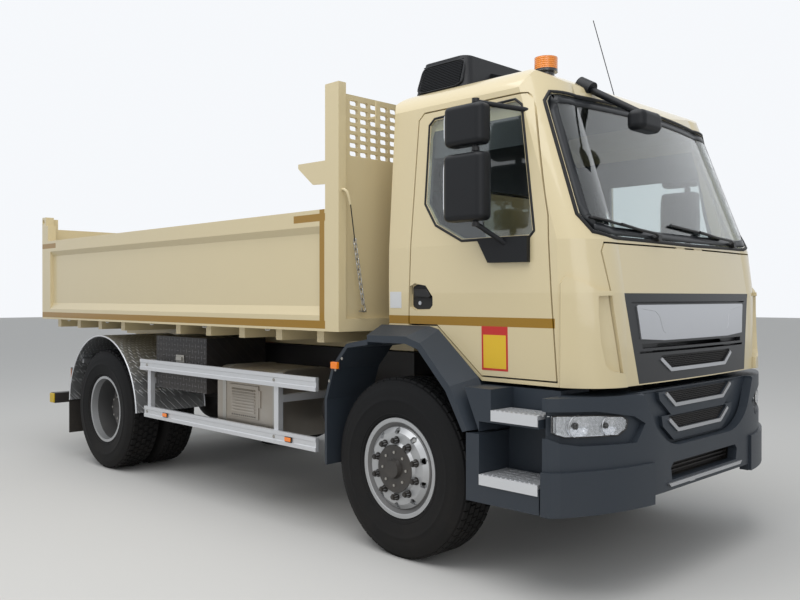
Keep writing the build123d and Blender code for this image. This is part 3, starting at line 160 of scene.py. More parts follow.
world = bpy.data.worlds.new("studio")
scene.world = world
world.use_nodes = True
sky = world.node_tree
sky_light = sky.nodes["Background"]
sky_light.inputs["Color"].default_value = (0.92, 0.96, 1.0, 1.0)
sky_light.inputs["Strength"].default_value = 0.62
sky_seen = node(sky, "ShaderNodeBackground", Color=(0.95, 0.97, 1.0, 1.0), Strength=0.97)
sky_rays = sky.nodes.new("ShaderNodeLightPath")
sky_mix = sky.nodes.new("ShaderNodeMixShader")
sky_open = calc("MAXIMUM", Sum(sky_rays.outputs["Is Camera Ray"]), sky_rays.outputs["Is Glossy Ray"])
wire(calc("MAXIMUM", sky_open, sky_rays.outputs["Is Transmission Ray"]), sky_mix.inputs[0])
wire(sky_light.outputs[0], sky_mix.inputs[1])
wire(sky_seen.outputs[0], sky_mix.inputs[2])
wire(sky_mix.outputs[0], sky.nodes["World Output"].inputs["Surface"])

# columns: name, place, width, watts
for lamp_name, place, width, watts in (("overhead_lamp", (2.0, -3.5, 9.0), 9.0, 620.0),
                                       ("front_lamp", (10.0, -7.0, 4.0), 6.0, 150.0)):
    light = bpy.data.lights.new(lamp_name, "AREA")
    light.size = width
    light.energy = watts
    lamp = linked(lamp_name, light)
    lamp.location = place
    lamp.rotation_euler = (Vector((0.8, 0.0, 1.2)) - Vector(place)).to_track_quat("-Z", "Y").to_euler()

camera = linked("camera", bpy.data.cameras.new("camera"))
camera.data.lens = 37.53
camera.data.sensor_width = 36.0
camera.location = (FRONT_AXLE + 3.533, -4.642, 1.558)
camera.rotation_euler = (math.radians(89.794), 0.0, math.radians(45.154))
scene.camera = camera


# ---- Frame rails and tipping subframe -----------------------------------------------------------
# Two pressed steel channels with cross members, and the box rails that carry the body bolted on top.
# Satin black chassis paint, dusty below, with rows of flanged bolts through the webs.
def between(value, low, high):
    """1 where a value lies between two numbers, else 0."""
    return (value > low) * (value < high)


def mixed(share, first, second):
    """A colour between two colours, each a socket or three numbers."""
    made = getattr(share, "socket", share).id_data.nodes.new("ShaderNodeMix")
    made.data_type = "RGBA"
    for index, value in ((0, share), (6, first), (7, second)):
        wire(value, made.inputs[index])
    return made.outputs[2]


def pattern_group(name, inputs, outputs):
    """An empty shader node group with named sockets."""
    group = bpy.data.node_groups.new(name, "ShaderNodeTree")
    for label, kind, value in inputs:
        group.interface.new_socket(label, in_out="INPUT",
            socket_type=f"NodeSocket{kind}").default_value = value
    for label, kind in outputs:
        group.interface.new_socket(label, in_out="OUTPUT", socket_type=f"NodeSocket{kind}")
    return group, group.nodes.new("NodeGroupInput"), group.nodes.new("NodeGroupOutput")


# road film: a brown dust, thicker low down and broken up by noise
road_dust, dust_in, dust_out = pattern_group("Road Dust",
    (("Color", "Color", (0.5, 0.5, 0.5, 1.0)), ("Amount", "Float", 0.3), ("Top", "Float", 1.2)),
    (("Color", "Color"), ("Mask", "Float")))
dust_place, _, _, dust_z = object_axes(road_dust)
dust_noise = Sum(noise(dust_place, Scale=4.0, Detail=8.0, Roughness=0.7))
dust_fall = 1.0 - dust_z / dust_in.outputs["Top"]
dust_mask = calc("MAXIMUM", dust_fall, 0.04) * dust_noise ** 1.6
dust_mask = calc("MINIMUM", dust_mask * dust_in.outputs["Amount"], 0.9)
wire(dust_mask, dust_out.inputs["Mask"])
wire(mixed(dust_mask, dust_in.outputs["Color"], (0.20, 0.155, 0.11)), dust_out.inputs["Color"])

# fine grain of a sprayed, moulded or cast surface
fine_grain, grain_in, grain_out = pattern_group("Fine Grain",
    (("Scale", "Float", 400.0), ("Strength", "Float", 0.1), ("Waviness", "Float", 0.0)),
    (("Normal", "Vector"), ("Value", "Float")))
grain_place = object_axes(fine_grain)[0]
grain_noise = node(fine_grain, "ShaderNodeTexNoise", Detail=3.0)
grain_wave = node(fine_grain, "ShaderNodeTexNoise", Scale=3.5, Detail=2.0)
wave_bump = node(fine_grain, "ShaderNodeBump", Distance=0.02)
grain_bump = node(fine_grain, "ShaderNodeBump", Distance=0.001)
wire(grain_place, grain_noise.inputs["Vector"])
wire(grain_place, grain_wave.inputs["Vector"])
wire(grain_in.outputs["Scale"], grain_noise.inputs["Scale"])
wire(grain_in.outputs["Strength"], grain_bump.inputs["Strength"])
wire(grain_in.outputs["Waviness"], wave_bump.inputs["Strength"])
wire(grain_wave.outputs["Fac"], wave_bump.inputs["Height"])
wire(wave_bump.outputs["Normal"], grain_bump.inputs["Normal"])
wire(grain_noise.outputs["Fac"], grain_bump.inputs["Height"])
wire(grain_bump.outputs["Normal"], grain_out.inputs["Normal"])
wire(grain_noise.outputs["Fac"], grain_out.inputs["Value"])


def placed_group(tree, group, **values):
    """A node group placed in a material with its own values."""
    made = tree.nodes.new("ShaderNodeGroup")
    made.node_tree = group
    for key, value in values.items():
        made.inputs[key].default_value = value
    return made


def dress(material, colour, dust=0.3, top=1.2, grain=400.0, strength=0.1, wavy=0.0, spread=0.12):
    """Puts colour, road film and grain on a material, with a roughness that varies over it."""
    tree = material.node_tree
    shader = tree.nodes["Principled BSDF"]
    film = placed_group(tree, road_dust, Amount=dust, Top=top)
    wire(colour, film.inputs["Color"])
    wire(film.outputs["Color"], shader.inputs["Base Color"])
    fine = placed_group(tree, fine_grain, Scale=grain, Strength=strength, Waviness=wavy)
    wire(fine.outputs["Normal"], shader.inputs["Normal"])
    rough = Sum(fine.outputs["Value"]) * spread + (shader.inputs["Roughness"].default_value - spread / 2)
    wire(rough + Sum(film.outputs["Mask"]) * 0.45, shader.inputs["Roughness"])
    return material


def painted(name, colour, roughness, metallic=0.0, coat=0.0, specular=0.5, **film):
    """A finish in one plain colour under its road film and grain."""
    return dress(new_material(name, colour, roughness, metallic, coat, specular), colour, **film)


def finish_nodes(material, *names):
    """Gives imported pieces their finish."""
    for name in names:
        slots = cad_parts[name].data.materials
        slots.clear()
        slots.append(material)


def parts_tree(name, inputs):
    """An empty geometry node tree with named inputs, and its first and last nodes."""
    tree = bpy.data.node_groups.new(name, "GeometryNodeTree")
    tree.interface.new_socket("Geometry", in_out="INPUT", socket_type="NodeSocketGeometry")
    tree.interface.new_socket("Geometry", in_out="OUTPUT", socket_type="NodeSocketGeometry")
    for label, kind, value in inputs:
        socket = tree.interface.new_socket(label, in_out="INPUT", socket_type=f"NodeSocket{kind}")
        if value is not None:
            socket.default_value = value
    return tree, tree.nodes.new("NodeGroupInput"), tree.nodes.new("NodeGroupOutput")


def scaled(tree, vector, factor):
    """A vector socket times a number socket."""
    made = tree.nodes.new("ShaderNodeVectorMath")
    made.operation = "SCALE"
    wire(vector, made.inputs[0])
    wire(factor, made.inputs["Scale"])
    return made.outputs[0]


def added(tree, first, second):
    """The sum of two vector sockets."""
    made = tree.nodes.new("ShaderNodeVectorMath")
    wire(first, made.inputs[0])
    wire(second, made.inputs[1])
    return made.outputs[0]


def close_tree(tree, first, last, points, rotation=None, scale=None, shift=None):
    """Puts the unit on the points, makes the copies real and gives them their finish."""
    placed = tree.nodes.new("GeometryNodeInstanceOnPoints")
    wire(points, placed.inputs["Points"])
    wire(first.outputs["Geometry"], placed.inputs["Instance"])
    if rotation:
        wire(rotation, placed.inputs["Rotation"])
    if scale:
        wire(scale, placed.inputs["Scale"])
    real = tree.nodes.new("GeometryNodeRealizeInstances")
    wire(placed.outputs[0], real.inputs[0])
    moved = tree.nodes.new("GeometryNodeTransform")
    wire(real.outputs[0], moved.inputs["Geometry"])
    if shift:
        wire(shift, moved.inputs["Translation"])
    finish = tree.nodes.new("GeometryNodeSetMaterial")
    wire(moved.outputs[0], finish.inputs["Geometry"])
    wire(first.outputs["Finish"], finish.inputs["Material"])
    wire(finish.outputs[0], last.inputs["Geometry"])


# rows and columns of one small part: bolts, rivets, slats, ribs and links
row_tree, row_in, row_out = parts_tree("Parts In Rows", (
    ("Columns", "Int", 4), ("Rows", "Int", 1), ("Start", "Vector", (0, 0, 0)),
    ("Column Step", "Vector", (0.1, 0, 0)), ("Row Step", "Vector", (0, 0, 0.1)),
    ("Stagger", "Float", 0.0), ("Turn", "Vector", (0, 0, 0)),
    ("Taper", "Float", 0.0), ("Finish", "Material", None)))
row_index = Sum(row_tree.nodes.new("GeometryNodeInputIndex").outputs[0])
row_number = math.floor(row_index / row_in.outputs["Columns"])
column_number = row_index % row_in.outputs["Columns"]
odd_row = row_number % 2.0
column_place = column_number + odd_row * row_in.outputs["Stagger"]
row_place = added(row_tree, row_in.outputs["Start"],
    added(row_tree, scaled(row_tree, row_in.outputs["Column Step"], column_place),
    scaled(row_tree, row_in.outputs["Row Step"], row_number)))
row_points = row_tree.nodes.new("GeometryNodePoints")
wire(Sum(row_in.outputs["Columns"]) * row_in.outputs["Rows"], row_points.inputs["Count"])
wire(row_place, row_points.inputs["Position"])
row_turn = scaled(row_tree, row_in.outputs["Turn"], row_index % 2.0)
row_scale = row_tree.nodes.new("ShaderNodeCombineXYZ")
row_scale.inputs[0].default_value = 1.0
row_scale.inputs[2].default_value = 1.0
wire(1.0 - row_number * row_in.outputs["Taper"], row_scale.inputs[1])
close_tree(row_tree, row_in, row_out, row_points.outputs[0], row_turn, row_scale.outputs[0])


def mesh_object(name, vertices, faces):
    """A mesh object at the origin with its faces turned outwards."""
    mesh = bpy.data.meshes.new(name)
    mesh.from_pydata([tuple(v) for v in vertices], [], faces)
    work = bmesh.new()
    work.from_mesh(mesh)
    bmesh.ops.recalc_face_normals(work, faces=work.faces)
    work.to_mesh(mesh)
    work.free()
    return linked(name, mesh)


def grown(unit, tree, **values):
    """Runs a tree on its unit and keeps the result as a plain mesh. Underscores stand for spaces."""
    parts = unit.modifiers.new("parts", "NODES")
    parts.node_group = tree
    wanted = {key.replace("_", " "): value for key, value in values.items()}
    for socket in tree.interface.items_tree:
        if socket.in_out == "INPUT" and socket.name in wanted:
            parts[socket.identifier] = wanted[socket.name]
    solid = bpy.data.meshes.new_from_object(unit.evaluated_get(bpy.context.evaluated_depsgraph_get()))
    unit.modifiers.remove(parts)
    old = unit.data
    unit.data = solid
    bpy.data.meshes.remove(old)
    return unit


def fitted(piece, body, material=None, smooth=None, bevel=0.0):
    """Finishes a piece and fixes it to its body."""
    if material:
        piece.data.materials.clear()
        piece.data.materials.append(material)
    if smooth is not None:
        piece.data.shade_smooth()
        piece.data.set_sharp_from_angle(angle=math.radians(smooth))
    if bevel:
        edge = piece.modifiers.new("edges", "BEVEL")
        edge.width = bevel
        edge.segments = 2
        edge.limit_method = "ANGLE"
    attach(piece, body)
    return piece


def piece(name, form, body, material, slot, smooth=None, bevel=0.0):
    """A form made up as a piece and fixed to its body."""
    return fitted(mesh_object(name, *form), body, material, smooth, bevel)


def repeated(name, form, body, slot, finish, smooth=None, bevel=0.0, tree=row_tree, **values):
    """Copies of one form in rows or in a ring, fixed to a body as one piece."""
    values = {"Columns": 1, "Rows": 1, **values}
    return fitted(grown(mesh_object(name, *form), tree, Finish=finish, **values), body, None, smooth,
        bevel)


def prism(outline, axis, low, high):
    """An outline in the two other axes, in X Y Z order, drawn out along one axis."""
    places = {"x": lambda a, b, c: (c, a, b),
              "y": lambda a, b, c: (a, c, b),
              "z": lambda a, b, c: (a, b, c)}[axis]
    count = len(outline)
    vertices = [places(a, b, low) for a, b in outline] + [places(a, b, high) for a, b in outline]
    faces = [tuple(range(count)), tuple(range(2 * count - 1, count - 1, -1))]
    faces += [(i, i + count, (i + 1) % count + count, (i + 1) % count) for i in range(count)]
    return vertices, faces


def brick(low, high):
    """A box between two corners."""
    return prism([(low[0], low[1]), (high[0], low[1]), (high[0], high[1]), (low[0], high[1])], "z", low[2],
        high[2])


def joined(*forms):
    """Several forms as one."""
    vertices, faces = [], []
    for form_vertices, form_faces in forms:
        start = len(vertices)
        vertices += form_vertices
        faces += [tuple(i + start for i in face) for face in form_faces]
    return vertices, faces


def hexagon(radius, sides=6, u=0.0, v=0.0):
    """A bolt's head or a disc from above, round a centre."""
    return [(u + radius * math.cos(2 * math.pi * i / sides), v + radius * math.sin(2 * math.pi * i / sides))
        for i in range(sides)]


def bolt_head(axis, out, radius=0.011, height=0.009):
    """A flanged hexagon bolt head that stands out along one axis."""
    flange_wide, flange_thick = radius * 1.45, 0.003
    return joined(prism(hexagon(flange_wide, 12), axis, 0.0, out * flange_thick),
        prism(hexagon(radius), axis, out * flange_thick, out * height))


chassis_black = painted("chassis_black", (0.016, 0.016, 0.018), 0.45, specular=0.35, dust=0.45, top=1.3,
    grain=120.0, strength=0.25)
finish_nodes(chassis_black, "frame_rails", "tipping_subframe", "air_tanks", "underrun_bar")
zinc = painted("zinc_plate", (0.42, 0.41, 0.38), 0.4, metallic=0.9, dust=0.6, top=1.6, grain=300.0,
    strength=0.2)
RAIL_Y = 0.430
SIDES = ((-1, "right"), (1, "left"))
for side, word in SIDES:
    repeated(f"rail_bolts_{word}", bolt_head("y", side), "chassis", "chassis_paint", zinc, smooth=30,
        Columns=22, Rows=2, Start=(-2.55, side * (RAIL_Y - 0.001), 0.775), Column_Step=(0.21, 0, 0),
        Row_Step=(0, 0, 0.15), Stagger=0.4)

# ---- Axles, springs, knuckles and engine --------------------------------------------------------
# Forged front beam and cast rear casing on leaf springs, painted with the frame; cast iron knuckles and
# engine block, rough from the sand mould.
finish_nodes(chassis_black, "front_axle", "rear_axle")
cast_iron = painted("cast_iron", (0.035, 0.034, 0.035), 0.6, metallic=0.2, specular=0.35, dust=0.9, top=1.5,
    grain=80.0, strength=0.6)
finish_nodes(cast_iron, "engine", "knuckle_left", "knuckle_right")

# ---- Wheels -------------------------------------------------------------------------------------
# Silver-enamelled pressed steel discs welded in drop-centre rims. Ten black cone nuts hold each one, and
# the hub shows through the disc's middle in bare dark castings.
AXLE_Z = 0.538
REAR_AXLE = FRONT_AXLE - 3.75
# columns: rim, tyre, body, axle x, tyre middles, disc face y, side
wheels = (("rim_front_right", "tyre_front_right", "wheel_front_right", FRONT_AXLE, (-1.015,), -1.155, -1),
    ("rim_front_left", "tyre_front_left", "wheel_front_left", FRONT_AXLE, (1.015,), 1.155, 1),
    ("rims_rear_right", "tyres_rear_right", "wheels_rear_right", REAR_AXLE, (-1.060, -0.709), -0.902, -1),
    ("rims_rear_left", "tyres_rear_left", "wheels_rear_left", REAR_AXLE, (1.060, 0.709), 0.902, 1))
hub_black = painted("hub_black", (0.012, 0.012, 0.013), 0.4, specular=0.4, dust=0.4, top=1.2, grain=150.0,
    strength=0.3)
HUB_R = 0.1425
HAND_HOLES = (0.243, 0.272)          # the ring of the disc that they dish in, painted dark as shade


def wheel_enamel(name, axle_x):
    """Silver enamel with a bare dark hub inside the disc's middle, and painted shade over the dished ring.
    """
    made = new_material(name, (0.40, 0.41, 0.42), 0.34, metallic=0.55, coat=0.2)
    tree = made.node_tree
    _, x, _, z = object_axes(tree)
    off_x = x - axle_x
    off_z = z - AXLE_Z
    reach = calc("SQRT", off_x * off_x + off_z * off_z)
    dark = reach < HUB_R
    # painted shade: the dished ring of hand holes darkened three quarters of the way to black
    dish_shade = between(reach, *HAND_HOLES) * 0.75
    colour = mixed(calc("MAXIMUM", dark, dish_shade), (0.44, 0.45, 0.46), (0.012, 0.012, 0.013))
    shade(tree, "Metallic", (1.0 - dark) * 0.55)
    return dress(made, colour, dust=0.5, top=1.2, grain=150.0, strength=0.1)


front_enamel = wheel_enamel("front_wheel_enamel", FRONT_AXLE)
rear_enamel = wheel_enamel("rear_wheel_enamel", REAR_AXLE)

# one small part repeated round an axle: nuts, hub bolts and tread blocks
ring_tree, ring_in, ring_out = parts_tree("Parts Round An Axle", (
    ("Count", "Int", 10), ("Rows", "Int", 1), ("Row Pitch", "Float", 0.05),
    ("Stagger", "Float", 0.5), ("Hub", "Vector", (0, 0, 0)),
    ("Finish", "Material", None)))
ring_index = Sum(ring_tree.nodes.new("GeometryNodeInputIndex").outputs[0])
ring_row = math.floor(ring_index / ring_in.outputs["Count"])
ring_share = ring_index % ring_in.outputs["Count"] + ring_row % 2.0 * ring_in.outputs["Stagger"]
ring_angle = ring_share * (2 * math.pi) / ring_in.outputs["Count"]
ring_across = (ring_row - (Sum(ring_in.outputs["Rows"]) - 1.0) / 2.0) * ring_in.outputs["Row Pitch"]
ring_place = ring_tree.nodes.new("ShaderNodeCombineXYZ")
wire(ring_across, ring_place.inputs[1])
ring_turn = ring_tree.nodes.new("ShaderNodeCombineXYZ")
wire(ring_angle, ring_turn.inputs[1])
ring_points = ring_tree.nodes.new("GeometryNodePoints")
wire(Sum(ring_in.outputs["Count"]) * ring_in.outputs["Rows"], ring_points.inputs["Count"])
wire(ring_place.outputs[0], ring_points.inputs["Position"])
close_tree(ring_tree, ring_in, ring_out, ring_points.outputs[0], ring_turn.outputs[0],
    shift=ring_in.outputs["Hub"])

NUT_CIRCLE, COVER_CIRCLE = 0.1675, 0.098
# how far the nuts stand off the disc and the hub's cover off its face, on front wheels and on rear ones
front_stands, rear_stands = (0.032, 0.020), (0.050, 0.165)
for rim, tyre, body, axle_x, middles, face_y, side in wheels:
    finish_nodes(front_enamel if len(middles) == 1 else rear_enamel, rim)
    stand, cover_stand = front_stands if len(middles) == 1 else rear_stands
    # washer, cone nut and stud: radius, sides, low, high
    nut_parts = ((0.0245, 14, -0.001, 0.0025), (0.0188, 6, 0.002, stand + 0.002),
        (0.0125, 10, stand + 0.002, stand + 0.010))
    nut = joined(*[prism(hexagon(radius, sides, 0.0, NUT_CIRCLE), "y", side * low, side * high)
        for radius, sides, low, high in nut_parts])
    repeated(f"nuts_{rim}", nut, body, "silver_wheel", hub_black, tree=ring_tree, smooth=35, Count=10,
        Hub=(axle_x, face_y, AXLE_Z))
    # cap bolts round the hub's own cover
    cover_y = face_y + side * cover_stand
    cap = prism(hexagon(0.0085, 8, 0.0, COVER_CIRCLE), "y", 0.0, side * 0.007)
    repeated(f"hub_bolts_{rim}", cap, body, "silver_wheel", zinc, tree=ring_tree, smooth=35, Count=8,
        Hub=(axle_x, cover_y - side * 0.001, AXLE_Z))

# ---- Tyres --------------------------------------------------------------------------------------
# Steel-belted radial tyres in black rubber. The front pair has near-continuous ribs, the driven twins
# staggered blocks; the mould leaves rings on the side walls.
FLOOR_R, BLOCK_FOOT, TREAD_TOP = 0.5255, 0.5205, 0.5372
BLOCK_WIDE, BLOCK_PITCH = 0.0405, 0.0478
# blocks round the tread and the length of one, on front tyres and on rear ones
front_blocks, rear_blocks = (58, 0.0535), (52, 0.047)
tyre_section = [(-0.1147, 0.2865), (-0.1147, 0.299), (-0.124, 0.304), (-0.135, 0.3105), (-0.138, 0.322),
    (-0.142, 0.324), (-0.1405, 0.329), (-0.1465, 0.350), (-0.1515, 0.378), (-0.1545, 0.402), (-0.156, 0.405),
    (-0.156, 0.412), (-0.1538, 0.416), (-0.1535, 0.440), (-0.1515, 0.462), (-0.1495, 0.468),
    (-0.1495, 0.476), (-0.1450, 0.484), (-0.1400, 0.497), (-0.1330, 0.509), (-0.1262, 0.5215),
    (-0.118, FLOOR_R)]
tyre_rubber = painted("tyre_rubber", (0.0085, 0.0088, 0.0095), 0.72, specular=0.16, dust=0.10, top=1.0,
    grain=220.0, strength=0.35, spread=0.15)


def ring_faces(rings, width, gaps):
    """Faces in the gaps between rings of points, the last ring followed by the first."""
    return [(i * width + j, i * width + (j + 1) % width, (i + 1) % rings * width + (j + 1) % width,
        (i + 1) % rings * width + j) for i in range(gaps) for j in range(width)]


def turned(section, middle, axle_x, steps=96):
    """A section turned right round an axle, closed on itself."""
    turns = [2 * math.pi * i / steps for i in range(steps)]
    vertices = [(axle_x + r * math.sin(turn), middle + across, AXLE_Z + r * math.cos(turn)) for turn in turns
        for across, r in section]
    return vertices, ring_faces(steps, len(section), steps)


def tread_block(length, width, base, top):
    """One block with narrowed top, standing at the top of the tread."""
    half_l, half_w, trim = length / 2, width / 2, 0.0022
    lower = [(-half_l, -half_w, base), (half_l, -half_w, base), (half_l, half_w, base),
        (-half_l, half_w, base)]
    upper = [(-half_l + trim, -half_w + trim, top), (half_l - trim, -half_w + trim, top),
        (half_l - trim, half_w - trim, top), (-half_l + trim, half_w - trim, top)]
    return lower + upper, [(4, 5, 6, 7), (0, 1, 5, 4), (1, 2, 6, 5), (2, 3, 7, 6), (3, 0, 4, 7),
        (0, 3, 2, 1)]


def merged(name, pieces):
    """Several mesh objects as one."""
    total = bmesh.new()
    for one in pieces:
        total.from_mesh(one.data)
    mesh = bpy.data.meshes.new(name)
    total.to_mesh(mesh)
    total.free()
    made = linked(name, mesh)
    for one in pieces:
        bpy.data.objects.remove(one)
    return made


for rim, tyre, body, axle_x, middles, face_y, side in wheels:
    pieces = []
    for number, middle in enumerate(middles):
        whole = tyre_section + [(-across, r) for across, r in reversed(tyre_section)]
        pieces.append(mesh_object(f"case_{tyre}_{number}", *turned(whole, middle, axle_x)))
        count, length = front_blocks if len(middles) == 1 else rear_blocks
        block = tread_block(length, BLOCK_WIDE, BLOCK_FOOT, TREAD_TOP)
        blocks = mesh_object(f"blocks_{tyre}_{number}", *block)
        grown(blocks, ring_tree, Count=count, Rows=5, Row_Pitch=BLOCK_PITCH, Hub=(axle_x, middle, AXLE_Z),
            Finish=tyre_rubber)
        pieces.append(blocks)
        # shoulder lugs that run down over the edge of the tread
        for edge in (-1, 1):
            lug_form = prism([(edge * 0.1175, 0.5245), (edge * 0.1275, 0.5205), (edge * 0.1365, 0.503),
                (edge * 0.134, 0.500), (edge * 0.1175, 0.518)], "x", -0.0205, 0.0205)
            lug = mesh_object(f"lug_{tyre}_{number}_{edge}", *lug_form)
            grown(lug, ring_tree, Count=count, Rows=1, Hub=(axle_x, middle, AXLE_Z), Finish=tyre_rubber)
            pieces.append(lug)
    whole_tyre = merged(f"dressed_{tyre}", pieces)
    fitted(whole_tyre, body, tyre_rubber, smooth=32)
    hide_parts(tyre)

# ---- Silencer, tanks and lockers ----------------------------------------------------------------
# A pressed stainless heat shield over the silencer, a mill-finish aluminium fuel tank in steel straps,
# painted air vessels and lockers of dark tread plate hung from the frame.
tread_plate, plate_in, plate_out = pattern_group("Tread Plate",
    (("Pitch", "Float", 0.035), ("Strength", "Float", 0.6)), (("Height", "Float"), ("Normal", "Vector")))
_, plate_x, plate_y, plate_z = object_axes(tread_plate)
along = plate_x / plate_in.outputs["Pitch"]
upward = (plate_z + plate_y) / plate_in.outputs["Pitch"]
whole_steps = math.floor(along) + math.floor(upward)
other = abs(whole_steps % 2.0)
cell_u = calc("FRACT", along) - 0.5
cell_v = calc("FRACT", upward) - 0.5
narrow_u = 2.0 + other * 4.5
narrow_v = 6.5 - other * 4.5
reach_u = cell_u * narrow_u
reach_v = cell_v * narrow_v
lens_form = reach_u * reach_u + reach_v * reach_v
plate_height = calc("MAXIMUM", 1.0 - lens_form, 0.0)
plate_bump = node(tread_plate, "ShaderNodeBump", Distance=0.004)
wire(plate_height, plate_bump.inputs["Height"])
wire(plate_in.outputs["Strength"], plate_bump.inputs["Strength"])
wire(plate_height, plate_out.inputs["Height"])
wire(plate_bump.outputs["Normal"], plate_out.inputs["Normal"])


def rolled_pattern(material, low_colour, high_colour, pitch, strength, **film):
    """A finish whose sheet carries the raised tread pattern, lighter on its raised tops as a painted
    highlight.
    """
    tree = material.node_tree
    plate = placed_group(tree, tread_plate, Pitch=pitch, Strength=strength)
    # painted highlight: the raised tops coloured lighter than the flats
    dress(material, mixed(plate.outputs["Height"], low_colour, high_colour), **film)
    shade(tree, "Normal", plate.outputs["Normal"])
    return material


dark_plate = rolled_pattern(new_material("dark_tread_plate", (0.03, 0.03, 0.033), 0.38, metallic=0.4),
    (0.016, 0.016, 0.018), (0.10, 0.10, 0.105), 0.045, 1.0, dust=0.6, top=1.5)
finish_nodes(dark_plate, "lockers")
stainless = new_material("stainless_shield", (0.34, 0.32, 0.29), 0.4, metallic=0.9)
heat = noise(object_axes(stainless.node_tree)[0], Scale=3.0, Detail=4.0)
dress(stainless, mixed(heat, (0.46, 0.44, 0.41), (0.30, 0.25, 0.19)), dust=0.3, top=1.2,
    grain=300.0, strength=0.15, wavy=0.1)
finish_nodes(stainless, "silencer")
shield = brick((FRONT_AXLE - 1.785, -1.1485, 0.672), (FRONT_AXLE - 1.425, -1.1395, 0.915))
piece("silencer_shield", shield, "chassis", stainless, "stainless", bevel=0.004)
repeated("silencer_louvres", prism([(-1.148, -0.005), (-1.159, -0.005), (-1.148, 0.008)], "x", -0.145,
    0.145), "chassis", "stainless", stainless, Rows=8, Start=(FRONT_AXLE - 1.605, 0, 0.722),
    Row_Step=(0, 0, 0.0225))
repeated("silencer_drains", prism(hexagon(0.006, 10), "y", -1.1497, -1.1480), "chassis", "black_plastic",
    hub_black, Columns=13, Start=(FRONT_AXLE - 1.749, 0, 0.690), Column_Step=(0.024, 0, 0))
mill = painted("mill_aluminium", (0.66, 0.67, 0.69), 0.36, metallic=0.6, dust=0.18, top=1.1, grain=260.0,
    strength=0.1, wavy=0.05)
finish_nodes(mill, "fuel_tank")
# zinc-plated bands clamped round the silencer and the tank, each a strip that stands 4 mm off the drum
BAND_WIDE = 0.045
# columns: name, place, y middle, z middle, half width, half height, corner
for name, place, mid_y, mid_z, half_w, half_h, corner in (
        ("silencer_band_1", -1.885, -0.880, 0.800, 0.264, 0.244, 0.094),
        ("silencer_band_2", -1.255, -0.880, 0.800, 0.264, 0.244, 0.094),
        ("tank_band_1", -1.740, 0.820, 0.760, 0.304, 0.284, 0.114),
        ("tank_band_2", -1.360, 0.820, 0.760, 0.304, 0.284, 0.114)):
    ring = []
    for right, up, start in ((1, 1, 0), (-1, 1, 90), (-1, -1, 180), (1, -1, 270)):
        for step in range(7):
            turn = math.radians(start + 15 * step)
            ring.append((right * (half_w - corner) + corner * math.cos(turn),
                up * (half_h - corner) + corner * math.sin(turn)))
    inner = [(y * (1 - 0.005 / half_w), z * (1 - 0.005 / half_h)) for y, z in ring]
    vertices = []
    for loop, x in ((ring, 0.0), (ring, BAND_WIDE), (inner, BAND_WIDE), (inner, 0.0)):
        vertices += [(FRONT_AXLE + place + x, mid_y + y, mid_z + z) for y, z in loop]
    faces = ring_faces(4, len(ring), 4)
    piece(name, (vertices, faces), "chassis", zinc, "stainless" if "silencer" in name else "aluminium",
        smooth=30)
cap = prism(hexagon(0.058, 24, FRONT_AXLE - 1.75, 0.95), "z", 1.060, 1.079)
piece("filler_cap", cap, "chassis", hub_black, "black_plastic", smooth=30, bevel=0.004)
# columns: side, word, rear x, front x, locker's face y, low z, high z
for side, word, x_low, x_high, y_face, z_low, z_high in ((-1, "right", -2.56, -2.44, -1.145, 1.03, 1.09),
        (1, "left", -2.41, -2.29, 1.130, 0.83, 0.89)):
    pan = brick((FRONT_AXLE + x_low, y_face - 0.001 * side, z_low),
        (FRONT_AXLE + x_high, y_face + 0.008 * side, z_high))
    paddle = brick((FRONT_AXLE + x_low + 0.02, y_face + 0.008 * side, z_low + 0.015),
        (FRONT_AXLE + x_high - 0.02, y_face + 0.022 * side, z_high - 0.015))
    piece(f"locker_latch_{word}", joined(pan, paddle), "chassis", zinc, "aluminium", bevel=0.003)

# ---- Side guards, underrun bar and side lamps ---------------------------------------------------
# Grooved aluminium rails on two posts a side, and a square steel bar behind with yellow plastic ends.
# Small amber side lamps are screwed to the lower rail and to the arch.
finish_nodes(mill, "side_guards")
amber = new_material("amber_lens", (0.75, 0.20, 0.008), 0.18, coat=0.5)
shade(amber.node_tree, "Emission Color", (0.9, 0.25, 0.01))
shade(amber.node_tree, "Emission Strength", 0.25)


def ribbed_lens(material, pitch=0.006):
    """Fine upright ribs moulded inside a lens."""
    tree = material.node_tree
    _, x, y, _ = object_axes(tree)
    ribs = calc("SINE", (x + y) * (2 * math.pi / pitch))
    bumped(tree, ribs, Distance=0.001, Strength=0.35)
    return ribs * 0.5 + 0.5


amber_ribs = ribbed_lens(amber)
shade(amber.node_tree, "Base Color", mixed(amber_ribs, (0.80, 0.20, 0.008), (0.55, 0.10, 0.004)))
BASE_DEEP = 0.003
# columns: name, place ahead of the front axle, face y, z, half length, half height, depth
side_lamps = (("guard_lamp_rear", -2.62, 1.2151, 0.598, 0.032, 0.014, 0.011),
              ("guard_lamp_front", -0.98, 1.2151, 0.598, 0.032, 0.014, 0.011),
              ("arch_lamp", -0.506, 1.1951, 1.1250, 0.030, 0.022, 0.026))
for name, place, face, z, half_x, half_z, depth in side_lamps:
    for side, word in SIDES:
        base = brick((FRONT_AXLE + place - half_x - 0.006, side * (face - 0.001), z - half_z - 0.004),
            (FRONT_AXLE + place + half_x + 0.006, side * (face + BASE_DEEP), z + half_z + 0.004))
        lens = brick((FRONT_AXLE + place - half_x, side * (face + BASE_DEEP), z - half_z),
            (FRONT_AXLE + place + half_x, side * (face + depth), z + half_z))
        piece(f"{name}_base_{word}", base, "chassis", hub_black, "black_plastic", bevel=0.001)
        piece(f"{name}_lens_{word}", lens, "chassis", amber, "amber", smooth=60, bevel=0.004)
yellow_plastic = painted("yellow_plastic", (0.62, 0.42, 0.02), 0.45, dust=0.5, top=1.0, grain=500.0,
    strength=0.15)
UNDERRUN_X = FRONT_AXLE - 4.84
